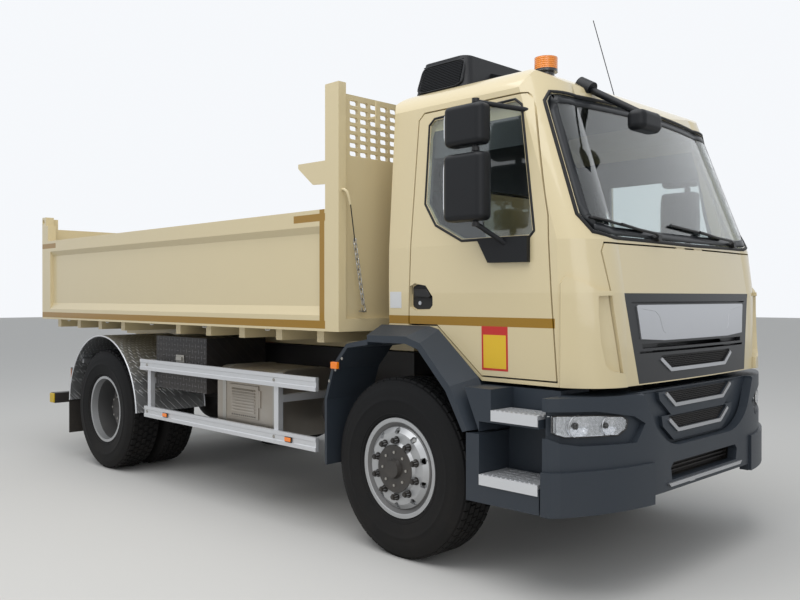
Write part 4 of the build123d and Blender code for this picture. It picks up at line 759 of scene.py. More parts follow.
for side, word in SIDES:
    end = brick((UNDERRUN_X - 0.047, side * 1.2145, 0.503), (UNDERRUN_X + 0.047, side * 1.232, 0.597))
    piece(f"underrun_end_{word}", end, "chassis", yellow_plastic, "amber", smooth=60, bevel=0.006)
    repeated(f"guard_bolts_{word}", bolt_head("y", side, 0.008, 0.007), "chassis", "aluminium", zinc,
        smooth=30, Columns=2, Rows=2, Start=(FRONT_AXLE - 2.93, side * 1.2098, 0.598),
        Column_Step=(1.78, 0, 0), Row_Step=(0, 0, 0.391))

# ---- Rear mudguards, flaps and lamps ------------------------------------------------------------
# Aluminium tread plate rolled to the wheel, edged with a folded bead; reinforced rubber flaps hang below.
# Each lamp cluster is one moulding: amber outside, red in the middle, clear for reversing.
bright_plate = rolled_pattern(new_material("bright_tread_plate", (0.5, 0.5, 0.52), 0.33, metallic=0.85),
    (0.42, 0.43, 0.44), (0.75, 0.76, 0.78), 0.036, 0.9, dust=0.45, top=1.4)
finish_nodes(bright_plate, "rear_mudguards")


def tube(points, radius, closed=False, sides=8):
    """A round bar along a row of points."""
    points = [Vector(p) for p in points]
    count = len(points)
    vertices = []
    up = None
    for i, point in enumerate(points):
        before = points[i - 1] if (i or closed) else point
        after = points[(i + 1) % count] if (i < count - 1 or closed) else point
        ahead = (after - before).normalized()
        if up is None:
            up = ahead.orthogonal().normalized()
        up = (up - ahead * up.dot(ahead)).normalized()
        across = ahead.cross(up)
        for j in range(sides):
            turn = 2 * math.pi * j / sides
            vertices.append(point + (up * math.cos(turn) + across * math.sin(turn)) * radius)
    faces = ring_faces(count, sides, count if closed else count - 1)
    if not closed:
        faces += [tuple(range(sides)), tuple(range((count - 1) * sides, count * sides))]
    return vertices, faces


GUARD_R, BEAD_R = 0.672, 0.668
GUARD_FOOT = 0.568
low_turn = math.degrees(math.asin((GUARD_FOOT - AXLE_Z) / GUARD_R))
arc_turns = [math.radians(low_turn + k * (180 - 2 * low_turn) / 40) for k in range(41)]
for side, word in SIDES:
    for edge_y, label in ((1.2285, "outer"), (0.5615, "inner")):
        arc = [(REAR_AXLE + BEAD_R * math.cos(turn), side * edge_y, AXLE_Z + BEAD_R * math.sin(turn))
            for turn in arc_turns]
        piece(f"mudguard_bead_{label}_{word}", tube(arc, 0.0075), "chassis", mill, "aluminium", smooth=60)
flap_rubber = painted("flap_rubber", (0.012, 0.012, 0.012), 0.7, specular=0.3, dust=0.4, top=0.9,
    grain=260.0, strength=0.3)
finish_nodes(flap_rubber, "mudflaps")
FLAP_X = REAR_AXLE - 0.680
for side, word in SIDES:
    repeated(f"flap_ribs_{word}", brick((-0.0035, -0.31, -0.006), (0.0, 0.31, 0.006)), "chassis",
        "flap_rubber", flap_rubber, Rows=9, Start=(FLAP_X, side * 0.895, 0.29), Row_Step=(0, 0, 0.034))
cluster = new_material("lamp_cluster", (0.4, 0.02, 0.02), 0.15, coat=0.6)
tree = cluster.node_tree
_, x, y, z = object_axes(tree)
y_out = abs(y)
cluster_ribs = ribbed_lens(cluster, 0.008)
lamp_colour = mixed(y_out > 0.90, (0.42, 0.010, 0.010), (0.72, 0.18, 0.008))
lamp_colour = mixed(y_out < 0.71, lamp_colour, (0.55, 0.56, 0.57))
casing = 1.0 - (x < FRONT_AXLE - 4.885) * between(z, 0.712, 0.828)
lamp_colour = mixed(casing, lamp_colour, (0.012, 0.012, 0.012))
lamp_colour = mixed(cluster_ribs * 0.25, lamp_colour, (0.08, 0.02, 0.02))
shade(tree, "Base Color", lamp_colour)
finish_nodes(cluster, "rear_lamps")
plate_white = painted("blank_plate", (0.62, 0.60, 0.50), 0.35, coat=0.3, dust=0.5, top=1.2, grain=500.0,
    strength=0.1)
rear_plate = brick((UNDERRUN_X - 0.0535, -0.26, 0.49), (UNDERRUN_X - 0.0502, 0.26, 0.61))
piece("rear_plate", rear_plate, "chassis", plate_white, "silver_trim", bevel=0.001)

# ---- Bumper and its lower grille ----------------------------------------------------------------
# Injection-moulded in dark blue-grey plastic with a fine grain, on steel brackets. Two mesh pockets sit in
# its recess over bright strips. A wide intake, barred across, lies above the lower ledge, and a black box of
# painted shade behind its bars stands in for the dark inside.
slate_plastic = painted("slate_plastic", (0.026, 0.034, 0.045), 0.44, specular=0.32, dust=0.12, top=1.1,
    grain=900.0, strength=0.35, wavy=0.04)
finish_nodes(slate_plastic, "bumper")
silver_trim = painted("silver_trim", (0.50, 0.51, 0.53), 0.3, metallic=0.85, dust=0.25, top=1.6, grain=300.0,
    strength=0.05)
finish_nodes(silver_trim, "bumper_strips", "grille_trim")
mesh_black = painted("mesh_black", (0.010, 0.010, 0.011), 0.5, specular=0.35, dust=0.3, top=1.6, grain=600.0,
    strength=0.2)


def mesh_panel(name, body, x, half_w, low, high, pitch):
    """Moulded mesh: level slats with short uprights set half a step along on every second row."""
    rows = int((high - low) / pitch)
    slats = mesh_object(f"slats_{name}", *brick((0.0, -half_w, -0.0017), (0.006, half_w, 0.0017)))
    grown(slats, row_tree, Columns=1, Rows=rows + 1, Start=(x, 0, low), Row_Step=(0, 0, pitch),
        Finish=mesh_black)
    columns = int(2 * half_w / (pitch * 1.7))
    uprights = mesh_object(f"uprights_{name}", *brick((0.0007, -0.0015, 0.0), (0.0053, 0.0015, pitch)))
    grown(uprights, row_tree, Columns=columns, Rows=rows, Start=(x, -half_w + 0.004, low),
        Column_Step=(0, 2 * half_w / columns, 0), Row_Step=(0, 0, pitch), Stagger=0.5, Finish=mesh_black)
    fitted(merged(f"mesh_{name}", [slats, uprights]), body, mesh_black)


mesh_panel("bumper_upper", "chassis", FRONT_AXLE + 1.3115, 0.395, 0.972, 1.042, 0.0105)
mesh_panel("bumper_lower", "chassis", FRONT_AXLE + 1.3115, 0.360, 0.830, 0.900, 0.0105)
repeated("intake_bars", brick((0.0, -0.415, -0.004), (0.012, 0.415, 0.004)), "chassis", "black_plastic",
    mesh_black, Rows=3, Start=(FRONT_AXLE + 1.290, 0, 0.590), Row_Step=(0, 0, 0.023))
# painted shade: a black box behind the intake's bars that stands in for the dark inside
# its back, floor, roof and two ends: front x, low y, low z, high y, high z
shade_box_walls = ((1.272, -0.440, 0.556, 0.440, 0.674), (1.3155, -0.440, 0.556, 0.440, 0.560),
    (1.3155, -0.440, 0.670, 0.440, 0.674), (1.3155, -0.440, 0.560, -0.436, 0.670),
    (1.3155, 0.436, 0.560, 0.440, 0.670))
shade_box = joined(*[brick((FRONT_AXLE + 1.268, y_low, z_low), (FRONT_AXLE + x_high, y_high, z_high))
    for x_high, y_low, z_low, y_high, z_high in shade_box_walls])
piece("intake_shade_box", shade_box, "chassis", mesh_black, "black_plastic")
for name, y_mid, half_y, finish in (("tow_cover", 0.0, 0.055, mesh_black),
        ("bumper_plate", -0.17, 0.030, silver_trim)):
    tab = brick((FRONT_AXLE + 1.3675, y_mid - half_y, 0.526), (FRONT_AXLE + 1.3715, y_mid + half_y, 0.552))
    piece(name, tab, "chassis", finish, "black_plastic", bevel=0.001)

# ---- Headlamps ----------------------------------------------------------------------------------
# Sealed units let into the bumper's corners: a silvered housing with a large and a small dished reflector
# under a clear moulded cover.
def skin(*names):
    """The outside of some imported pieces, to set other pieces against."""
    vertices, faces = [], []
    for name in names:
        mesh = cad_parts[name].data
        start = len(vertices)
        vertices += [v.co.copy() for v in mesh.vertices]
        faces += [tuple(i + start for i in face.vertices) for face in mesh.polygons]
    return BVHTree.FromPolygons(vertices, faces)


def touch(tree, start, ahead):
    """Where a line first meets a skin, or None."""
    return tree.ray_cast(Vector(start), Vector(ahead))[0]


lamp_silver = new_material("lamp_silver", (0.62, 0.63, 0.65), 0.16, metallic=0.95)
tree = lamp_silver.node_tree
place = object_axes(tree)[0]
flutes = node(tree, "ShaderNodeTexVoronoi", Scale=70.0)
wire(place, flutes.inputs["Vector"])
bumped(tree, flutes.outputs["Distance"], Distance=0.003, Strength=0.18)
shade(tree, "Base Color", mixed(flutes.outputs["Distance"], (0.74, 0.75, 0.77), (0.52, 0.53, 0.55)))


def walled(piece, thickness):
    """Gives a sheet its thickness."""
    piece.modifiers.new("wall", "SOLIDIFY").thickness = thickness


def clear_glass(name, tint, coat=0.0):
    """Clear glass that lets the lamps' light through to what lies behind it."""
    made = new_material(name, tint, 0.02, coat=coat)
    tree = made.node_tree
    shade(tree, "Transmission Weight", 1.0)
    shade(tree, "IOR", 1.45)
    shade(tree, "Normal", placed_group(tree, fine_grain, Scale=5.0, Strength=0.03).outputs["Normal"])
    film = noise(object_axes(tree)[0], Scale=3.0, Detail=4.0)
    shade(tree, "Base Color", mixed(film, tint, tuple(0.94 * part for part in tint)))
    open_way = node(tree, "ShaderNodeBsdfTransparent", Color=(*tint, 1.0))
    rays = tree.nodes.new("ShaderNodeLightPath")
    both = tree.nodes.new("ShaderNodeMixShader")
    wire(rays.outputs["Is Shadow Ray"], both.inputs[0])
    wire(tree.nodes["Principled BSDF"].outputs[0], both.inputs[1])
    wire(open_way.outputs[0], both.inputs[2])
    wire(both.outputs[0], tree.nodes["Material Output"].inputs["Surface"])
    return made


lamp_cover = clear_glass("lamp_cover", (0.95, 0.96, 0.97))
lamp_skin = skin("headlamps")
BEFORE_NOSE = FRONT_AXLE + 1.6          # where lines are cast back from
lamp_edge = [(1.228, 0.970), (1.228, 0.890), (1.150, 0.860), (0.860, 0.854), (0.808, 0.879), (0.794, 0.925),
    (0.831, 0.948), (1.000, 0.964)]


def edge_heights(y):
    """The lowest and highest point of the lamp's outline at one distance from the middle."""
    crossings = []
    for (y0, z0), (y1, z1) in zip(lamp_edge, lamp_edge[1:] + lamp_edge[:1]):
        if y0 != y1 and min(y0, y1) <= y <= max(y0, y1):
            crossings.append(z0 + (z1 - z0) * (y - y0) / (y1 - y0))
    return (min(crossings), max(crossings)) if crossings else (0.92, 0.921)


LAMP_IN, LAMP_OUT = 0.797, 1.225
RIM_DEEP, BOWL_DEEP = 0.0045, 0.0145
columns, levels = 44, 12
bowls = ((1.085, 0.912, 0.056), (0.918, 0.905, 0.047))      # distance out, height, radius
grid = [(i * (levels + 1) + j, (i + 1) * (levels + 1) + j, (i + 1) * (levels + 1) + j + 1,
    i * (levels + 1) + j + 1) for i in range(columns) for j in range(levels)]
for side, word in SIDES:
    face_points, back_points = [], []
    last_x = FRONT_AXLE + 1.25
    for i in range(columns + 1):
        y = LAMP_IN + (LAMP_OUT - LAMP_IN) * i / columns
        low, high = edge_heights(y)
        for j in range(levels + 1):
            z = low + (high - low) * j / levels
            hit = touch(lamp_skin, (BEFORE_NOSE, side * y, z), (-1, 0, 0))
            last_x = hit.x if hit else last_x
            face_points.append((last_x - 0.0005, side * y, z))
            sink = RIM_DEEP
            for out, height, radius in bowls:
                reach = math.hypot(y - out, z - height) / radius
                if reach < 1.0:
                    sink = max(sink, RIM_DEEP + BOWL_DEEP * (1 - reach ** 2))
            back_points.append((last_x - sink, side * y, z))
    housing = mesh_object(f"lamp_reflector_{word}", back_points, grid)
    walled(housing, 0.0015)
    fitted(housing, "chassis", lamp_silver, smooth=40)
    if side == -1:
        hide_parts("headlamps")
    cover = mesh_object(f"lamp_cover_{word}", face_points, grid)
    walled(cover, 0.002)
    fitted(cover, "chassis", lamp_cover, smooth=40)
    rim_line = [face_points[i * (levels + 1)] for i in range(columns + 1)]
    rim_line += [face_points[i * (levels + 1) + levels] for i in range(columns, -1, -1)]
    piece(f"lamp_gasket_{word}", tube(rim_line, 0.0032, closed=True, sides=6), "chassis", mesh_black,
        "black_plastic", smooth=60)
    for number, (out, height, radius) in enumerate(bowls):
        hit = touch(lamp_skin, (BEFORE_NOSE, side * out, height), (-1, 0, 0))
        ring = [(hit.x - 0.0035 - math.cos(2 * math.pi * k / 32) * radius * (0.30 if out > 1.0 else 0.16),
            side * (out + radius * math.cos(2 * math.pi * k / 32)),
            height + radius * math.sin(2 * math.pi * k / 32)) for k in range(32)]
        bulb = prism(hexagon(radius * 0.30, 16, side * out, height), "x", hit.x - 0.019, hit.x - 0.010)
        piece(f"lamp_bulb_{word}_{number}", bulb, "chassis", hub_black, "lamp_glass", smooth=40, bevel=0.002)
        piece(f"lamp_ring_{word}_{number}", tube(ring, 0.0022, closed=True, sides=6), "chassis", silver_trim,
            "lamp_glass", smooth=60)

# ---- Steps and front wheel arches ---------------------------------------------------------------
# Moulded in the bumper's grained plastic and screwed to brackets behind; the arch ends in a row of screws.
# Each step carries a punched aluminium tread with raised grips.
finish_nodes(slate_plastic, "step_boxes", "front_arches")
finish_nodes(mill, "step_treads")
for side, word in SIDES:
    repeated(f"tread_grips_{word}", prism(hexagon(0.0062, 8), "z", 0.0, 0.0028), "chassis", "aluminium",
        mill, smooth=40, Columns=12, Rows=2, Start=(FRONT_AXLE + 0.724, side * 1.228, 0.6218),
        Column_Step=(0.030, 0, 0), Row_Step=(0.080, -side * 0.004, 0.345))
    repeated(f"arch_screws_{word}", bolt_head("y", side, 0.0065, 0.005), "chassis", "black_plastic", zinc,
        smooth=30, Columns=3, Start=(FRONT_AXLE - 0.575, side * 1.1945, 1.02), Column_Step=(0.062, 0, 0.075))

# ---- Cab body, doors and front lid --------------------------------------------------------------
# Pressed and welded steel in cream enamel under clear lacquer, grey lining inside. A gold tape runs round
# the sides at waist level; the doors hang on hidden hinges and open by black pulls in recessed cups.
CREAM = (0.640, 0.540, 0.330)
GOLD = (0.300, 0.155, 0.002)
cab_cream = new_material("cab_cream", CREAM, 0.30, coat=0.65, specular=0.4)
tree = cab_cream.node_tree
_, x, y, z = object_axes(tree)
out = abs(y)
on_side = (out > 1.025) * (x < FRONT_AXLE + 1.060)
tape = on_side * between(z, 1.396, 1.447)
# the lining: everything more than a panel's depth inside the outer form, but for the roof's front lip
# columns: place ahead at a height, the height, lean back for each metre of height
lower_front, upper_front = [FRONT_AXLE + ahead + height * lean - z * lean
    for ahead, height, lean in ((1.332, 1.094, 0.0841), (1.268, 1.855, 0.3288))]
nose = calc("MINIMUM", lower_front, upper_front)
nose = nose - out ** 8.0 * 0.25
side_in = 1.034 - calc("MAXIMUM", z - 1.855, 0.0) * 0.0626
roof_in = 2.818 - (out ** 2.0 * 0.04 + out ** 12.0 * 0.3)
brow_in = 2.787 + 0.474 * (FRONT_AXLE + 0.75) - x * 0.474
roof_in = calc("MINIMUM", roof_in, brow_in)
PANEL = 0.03
inside = (out < side_in) * (x < nose - PANEL) * (x > FRONT_AXLE - 0.19) * (z < roof_in)
brow_lip = (z > 2.66) * (x > FRONT_AXLE + 0.925)
inside = inside * (1.0 - brow_lip)
paint_colour = mixed(inside, mixed(tape, CREAM, GOLD), (0.085, 0.088, 0.092))
shade(tree, "Coat Weight", (1.0 - inside) * 0.65)
dress(cab_cream, paint_colour, dust=0.10, top=2.2, grain=220.0, strength=0.03, wavy=0.05, spread=0.06)
finish_nodes(cab_cream, "cab_shell", "door_left", "door_right", "front_lid")


def walked(outline, step=0.03, closed=True):
    """Points at even steps along an outline."""
    ends = list(zip(outline, outline[1:] + outline[:1])) if closed else list(zip(outline, outline[1:]))
    line = []
    for (a0, b0), (a1, b1) in ends:
        count = max(1, int(math.hypot(a1 - a0, b1 - b0) / step))
        line += [(a0 + (a1 - a0) * k / count, b0 + (b1 - b0) * k / count) for k in range(count)]
    return line


def eased(outline, share=0.12, times=3):
    """An outline with its corners cut round."""
    for _ in range(times):
        cut = []
        for i, here in enumerate(outline):
            after = outline[(i + 1) % len(outline)]
            cut.append((here[0] + (after[0] - here[0]) * share, here[1] + (after[1] - here[1]) * share))
            cut.append((after[0] + (here[0] - after[0]) * share, after[1] + (here[1] - after[1]) * share))
        outline = cut
    return outline


def widened(outline, amount):
    """An outline moved outwards all round, for one that runs either way."""
    area = sum(a[0] * b[1] - b[0] * a[1] for a, b in zip(outline, outline[1:] + outline[:1]))
    turn = 1 if area > 0 else -1
    moved = []
    for i, here in enumerate(outline):
        before, after = outline[i - 1], outline[(i + 1) % len(outline)]
        du, dv = after[0] - before[0], after[1] - before[1]
        length = math.hypot(du, dv) or 1.0
        moved.append((here[0] + turn * dv / length * amount, here[1] - turn * du / length * amount))
    return moved


handle_edge = [(0.026, 1.502), (0.026, 1.619), (0.062, 1.634), (0.149, 1.621), (0.200, 1.558),
    (0.200, 1.512), (0.177, 1.488), (0.062, 1.484)]
for side, word in SIDES:
    body = f"door_{word}"
    cup = prism([(FRONT_AXLE + a, b) for a, b in eased(handle_edge, 0.1, 2)], "y", side * 1.0385,
        side * 1.0410)
    pull = prism([(FRONT_AXLE + a, b) for a, b in ((0.050, 1.560), (0.050, 1.606), (0.150, 1.604),
        (0.182, 1.566), (0.170, 1.553))], "y", side * 1.0405, side * 1.0585)
    lock = prism(hexagon(0.012, 16, FRONT_AXLE + 0.085, 1.522), "y", side * 1.0405, side * 1.0450)
    piece(f"door_cup_{word}", cup, body, mesh_black, "black_plastic")
    piece(f"door_pull_{word}", pull, body, hub_black, "black_plastic", smooth=50, bevel=0.004)
    piece(f"door_lock_{word}", lock, body, silver_trim, "silver_trim", smooth=30)
# blank coloured plate on the right door and a blank white label on the cab's side behind it
red_edge = new_material("door_plate", (0.55, 0.02, 0.015), 0.4)
tree = red_edge.node_tree
_, x, _, z = object_axes(tree)
field = between(x, FRONT_AXLE + 0.586, FRONT_AXLE + 0.743) * between(z, 1.167, 1.350)
dress(red_edge, mixed(field, (0.50, 0.018, 0.014), (0.72, 0.46, 0.02)), dust=0.15, top=2.0, grain=500.0,
    strength=0.1)
label_white = painted("blank_label", (0.62, 0.63, 0.64), 0.5, dust=0.2, top=2.0, grain=500.0, strength=0.1)
door_skin = skin("door_right", "cab_shell")
# columns: name, body, ahead low, ahead high, z low, z high, finish, slot
for name, body, x_low, x_high, z_low, z_high, finish, slot in (
        ("door_plate", "door_right", 0.574, 0.755, 1.155, 1.397, red_edge, "amber"),
        ("side_label", "cab", -0.150, -0.052, 1.491, 1.590, label_white, "cream_paint")):
    corners = [touch(door_skin, (FRONT_AXLE + ahead, -1.4, height), (0, 1, 0))
        for ahead, height in ((x_low, z_low), (x_high, z_low), (x_high, z_high), (x_low, z_high))]
    vertices = [(c.x, c.y - 0.0012, c.z) for c in corners] + [(c.x, c.y + 0.001, c.z) for c in corners]
    piece(name, (vertices, [(0, 1, 2, 3), (7, 6, 5, 4), (0, 4, 5, 1), (1, 5, 6, 2), (2, 6, 7, 3),
        (3, 7, 4, 0)]), body, finish, slot)

# ---- Grille -------------------------------------------------------------------------------------
# A gloss black moulding let into the lid, with a satin silver bar across it, left plain, and a mesh pocket
# underlined by a bright strip.
gloss_black = painted("grille_black", (0.014, 0.016, 0.019), 0.35, specular=0.45, dust=0.15, top=1.8,
    grain=700.0, strength=0.15)
finish_nodes(gloss_black, "grille")
mesh_panel("grille", "front_lid", FRONT_AXLE + 1.3065, 0.432, 1.1685, 1.236, 0.0105)
bar_skin = skin("grille_trim")
for side, word in SIDES:
    line = []
    for out, z in walked([(0.615, 1.497), (0.480, 1.482), (0.440, 1.455), (0.405, 1.372), (0.360, 1.352)],
            0.02, False):
        hit = touch(bar_skin, (BEFORE_NOSE, side * out, z), (-1, 0, 0))
        if hit and hit.x > FRONT_AXLE + 1.29:
            line.append((hit.x - 0.0006, hit.y, hit.z))
    piece(f"bar_crease_{word}", tube(line, 0.0022, sides=6), "front_lid", silver_trim, "silver_trim",
        smooth=70)

# ---- Windscreen, windows, seals and wipers ------------------------------------------------------
# Laminated windscreen and toughened windows, lightly tinted, with a black fired border, set in rubber.
# Two steel wiper arms lie along the foot of the windscreen on rubber blades.
safety_glass = clear_glass("safety_glass", (0.74, 0.80, 0.80), coat=0.6)
finish_nodes(safety_glass, "window_left", "window_right", "cab_glass")
seal_rubber = painted("seal_rubber", (0.011, 0.011, 0.012), 0.55, specular=0.3, dust=0.1, top=2.5,
    grain=500.0, strength=0.2)
window_edge = [(0.150, 2.575), (0.180, 2.600), (0.770, 2.618), (0.805, 2.590), (0.918, 1.905),
    (0.900, 1.887), (0.430, 1.887), (0.230, 1.985), (0.142, 2.110)]
for side, word in SIDES:
    this_skin = skin(f"door_{word}")
    line = []
    for ahead, height in walked(widened(window_edge, 0.011), 0.03):
        hit = touch(this_skin, (FRONT_AXLE + ahead, side * 1.4, height), (0, -side, 0))
        if hit and abs(hit.y) > 0.95:
            line.append((hit.x, hit.y - side * 0.0025, hit.z))
    piece(f"window_seal_{word}", tube(line, 0.0085, closed=True), f"door_{word}", seal_rubber,
        "black_plastic", smooth=60)
screen_edge = [(-0.900, 2.655), (-0.930, 2.610), (-0.968, 1.985), (-0.930, 1.900), (-0.800, 1.876),
    (0.0, 1.868), (0.800, 1.876), (0.930, 1.900), (0.968, 1.985), (0.930, 2.610), (0.900, 2.655),
    (0.0, 2.665)]
shell_skin = skin("cab_shell")
BEFORE_SCREEN = FRONT_AXLE + 1.8
line = []
for y, z in walked(widened(screen_edge, 0.010), 0.04):
    hit = touch(shell_skin, (BEFORE_SCREEN, y, z), (-1, 0, 0))
    if hit and hit.x > FRONT_AXLE + 0.70:
        line.append((hit.x - 0.002, hit.y, hit.z))
piece("windscreen_seal", tube(line, 0.011, closed=True), "cab", seal_rubber, "black_plastic", smooth=60)
rear_line = [(FRONT_AXLE - 0.222, y, z) for y, z in walked([(-0.520, 1.900), (0.520, 1.900), (0.520, 2.300),
    (-0.520, 2.300)], 0.1)]
piece("rear_window_seal", tube(rear_line, 0.010, closed=True), "cab", seal_rubber, "black_plastic",
    smooth=60)

glass_skin = skin("cab_glass")
border_edge = walked(eased(screen_edge, 0.1, 2), 0.03)
border_points = []
for pair in zip(widened(border_edge, -0.006), widened(border_edge, -0.050)):
    hits = [touch(glass_skin, (BEFORE_SCREEN, y, z), (-1, 0, 0)) for y, z in pair]
    if all(hits):
        border_points += [(hit.x + 0.0028, hit.y, hit.z) for hit in hits]
count = len(border_points) // 2
fired = mesh_object("windscreen_border", border_points,
    [(2 * i, 2 * ((i + 1) % count), 2 * ((i + 1) % count) + 1, 2 * i + 1) for i in range(count)])
walled(fired, 0.0008)
fitted(fired, "cab", gloss_black, smooth=30)


def on_glass(y, z, lift):
    """A point that stands off the windscreen."""
    hit = touch(glass_skin, (BEFORE_SCREEN, y, z), (-1, 0, 0))
    base = hit or touch(shell_skin, (BEFORE_SCREEN, y, z), (-1, 0, 0))
    return (base.x + lift, y, z + lift * 0.3)


# columns: name, pivot y, pivot z, tip y, tip z
for name, pivot_y, pivot_z, tip_y, tip_z in (("near", -0.380, 1.884, -0.930, 1.945),
                                             ("far", 0.620, 1.890, -0.170, 1.945)):
    reach_y, reach_z = tip_y - pivot_y, tip_z - pivot_z
    shares = [0.18 + 0.82 * k / 16 for k in range(17)]
    blade = [on_glass(pivot_y + reach_y * share, pivot_z + reach_z * share + 0.020, 0.012)
        for share in shares]
    squeegee = [on_glass(y, z - 0.002, 0.004) for _, y, z in blade]
    middle = blade[8]
    arm = [on_glass(pivot_y, pivot_z, 0.030), on_glass(pivot_y + reach_y * 0.08, pivot_z + 0.010, 0.040),
        on_glass(pivot_y + reach_y * 0.35, pivot_z + reach_z * 0.35 + 0.004, 0.034),
        (middle[0] + 0.014, middle[1], middle[2])]
    boss = prism(hexagon(0.020, 16, pivot_y, pivot_z), "x", on_glass(pivot_y, pivot_z, 0.0)[0],
        on_glass(pivot_y, pivot_z, 0.038)[0])
    whole = joined(tube(blade, 0.0075), tube(squeegee, 0.0045, sides=6), tube(arm, 0.008), boss)
    piece(f"wiper_{name}", whole, "cab", hub_black, "black_plastic", smooth=50)

# ---- Mirrors ------------------------------------------------------------------------------------
# Black moulded housings clamped to a tubular arm, two a side and one over the windscreen's corner, each
# with a convex silvered glass set in its rear face.
black_moulding = painted("black_moulding", (0.007, 0.008, 0.010), 0.42, specular=0.26, dust=0.05, top=3.0,
    grain=1100.0, strength=0.3)
finish_nodes(black_moulding, "mirrors_right", "mirrors_left", "front_mirror")
MIRROR_Y = 1.215
mirror_glass = new_material("mirror_glass", (0.75, 0.77, 0.78), 0.03, metallic=1.0)
tree = mirror_glass.node_tree
shade(tree, "Normal", placed_group(tree, fine_grain, Scale=6.0, Strength=0.04).outputs["Normal"])
for side, word in SIDES:
    for label, low, high, half_x in (("upper", 2.370, 2.590, 0.135), ("lower", 1.965, 2.330, 0.140)):
        rear_x = FRONT_AXLE + 0.600 - half_x
        corners = [(-0.036, low + 0.036), (0.036, low + 0.036), (0.036, high - 0.036),
            (-0.036, high - 0.036)]
        panel = [(side * MIRROR_Y + a, b) for a, b in eased(corners, 0.12, 3)]
        glass = prism(panel, "x", rear_x - 0.0015, rear_x + 0.004)
        piece(f"mirror_glass_{label}_{word}", glass, "cab", mirror_glass, "glass", smooth=30)
    clamp = joined(*[prism(hexagon(0.021, 14, FRONT_AXLE + 0.660, side * MIRROR_Y), "z", z, z + 0.022)
        for z in (2.338, 2.596, 1.936)])
    piece(f"mirror_clamps_{word}", clamp, "cab", hub_black, "black_plastic", smooth=40)

# ---- Roof unit, beacon and aerial ---------------------------------------------------------------
# A black moulded cooling unit with slatted vents in its ends, an amber beacon on a rubber foot with a small
# work lamp behind it, and a whip aerial.
finish_nodes(black_moulding, "roof_unit", "aerial")
beacon_lens = new_material("beacon_lens", (0.80, 0.24, 0.01), 0.15, coat=0.6)
tree = beacon_lens.node_tree
z = object_axes(tree)[3]
rings = calc("SINE", z * (2 * math.pi / 0.012))
bumped(tree, rings, Distance=0.002, Strength=0.4)
shade(tree, "Base Color", mixed(z < 2.896, mixed((rings + 1.0) * 0.2, (0.85, 0.26, 0.01),
    (0.45, 0.09, 0.005)), (0.014, 0.014, 0.014)))
finish_nodes(beacon_lens, "beacon")
VENT_X, VENT_FOOT = FRONT_AXLE + 0.035, 2.858
END_SLOPE = 0.2727          # the unit's ends lean in by this for each metre of height
for side, word in SIDES:
    repeated(f"roof_vents_{word}", brick((-0.165, -0.003, -0.003), (0.165, 0.003, 0.003)), "cab",
        "black_plastic", black_moulding, Rows=15, Start=(VENT_X, side * 0.8225, VENT_FOOT),
        Row_Step=(0, -side * 0.00300, 0.0110))
    frame_line = [(VENT_X + ahead, side * (0.8235 - (z - VENT_FOOT) * END_SLOPE), z)
        for ahead, z in eased([(-0.185, 2.842), (0.190, 2.842), (0.180, 3.012), (-0.165, 3.012)], 0.12, 3)]
    piece(f"roof_vent_frame_{word}", tube(frame_line, 0.006, closed=True), "cab", black_moulding,
        "black_plastic", smooth=60)
repeated("roof_ribs", brick((-0.140, -0.006, -0.004), (0.140, 0.006, 0.004)), "cab", "black_plastic",
    black_moulding, bevel=0.0015, Columns=15, Start=(FRONT_AXLE + 0.025, -0.63, 3.0415),
    Column_Step=(0, 0.09, 0))

roof_lamp = joined(brick((FRONT_AXLE + 0.468, -0.625, 2.8365), (FRONT_AXLE + 0.532, -0.575, 2.846)),
    brick((FRONT_AXLE + 0.480, -0.612, 2.846), (FRONT_AXLE + 0.520, -0.588, 2.858)),
    prism(hexagon(0.026, 18, FRONT_AXLE + 0.500, 2.878), "y", -0.615, -0.570))
piece("roof_lamp", roof_lamp, "cab", black_moulding, "black_plastic", smooth=40, bevel=0.002)
roof_lens = prism(hexagon(0.0215, 18, FRONT_AXLE + 0.500, 2.878), "y", -0.619, -0.613)
piece("roof_lamp_lens", roof_lens, "cab", lamp_silver, "lamp_glass", smooth=40, bevel=0.0015)

# ---- Cab inside ---------------------------------------------------------------------------------
# A grained grey dashboard with slatted vents and a dark glass display, and two sprung seats in woven cloth
# over shaped foam, with sewn channels and welted edges.
dash_grey = painted("dash_grey", (0.035, 0.037, 0.041), 0.6, specular=0.35, dust=0.06, top=3.0, grain=500.0,
    strength=0.35)
finish_nodes(dash_grey, "dashboard")
for number, y in enumerate((-0.78, -0.38, 0.28, 0.86)):
    repeated(f"dash_vent_{number}", brick((-0.004, -0.06, -0.002), (0.004, 0.06, 0.002)), "cab", "interior",
        mesh_black, Rows=6, Start=(FRONT_AXLE + 0.8575, y, 1.755), Row_Step=(0, 0, 0.011))
screen_dark = new_material("display_glass", (0.008, 0.010, 0.014), 0.08, coat=1.0)
dress(screen_dark, (0.008, 0.010, 0.014), dust=0.02, top=3.0, grain=60.0, strength=0.02)
display = brick((FRONT_AXLE + 0.8560, -0.14, 1.640), (FRONT_AXLE + 0.8610, 0.14, 1.800))
piece("dash_display", display, "cab", screen_dark, "interior", bevel=0.002)
seat_cloth = new_material("seat_cloth", (0.03, 0.035, 0.05), 0.9, specular=0.2)
tree = seat_cloth.node_tree
place = object_axes(tree)[0]
weave = node(tree, "ShaderNodeTexChecker", Scale=260.0)
wire(place, weave.inputs["Vector"])
fleck = noise(place, Scale=40.0, Detail=4.0)
thread = mixed(weave.outputs["Fac"], (0.020, 0.023, 0.034), (0.045, 0.050, 0.066))
dress(seat_cloth, mixed(Sum(fleck) * 0.5, thread, (0.070, 0.075, 0.085)), dust=0.05, top=3.0, grain=420.0,
    strength=0.6)
finish_nodes(seat_cloth, "seats")
SWELL_MOST = 0.010


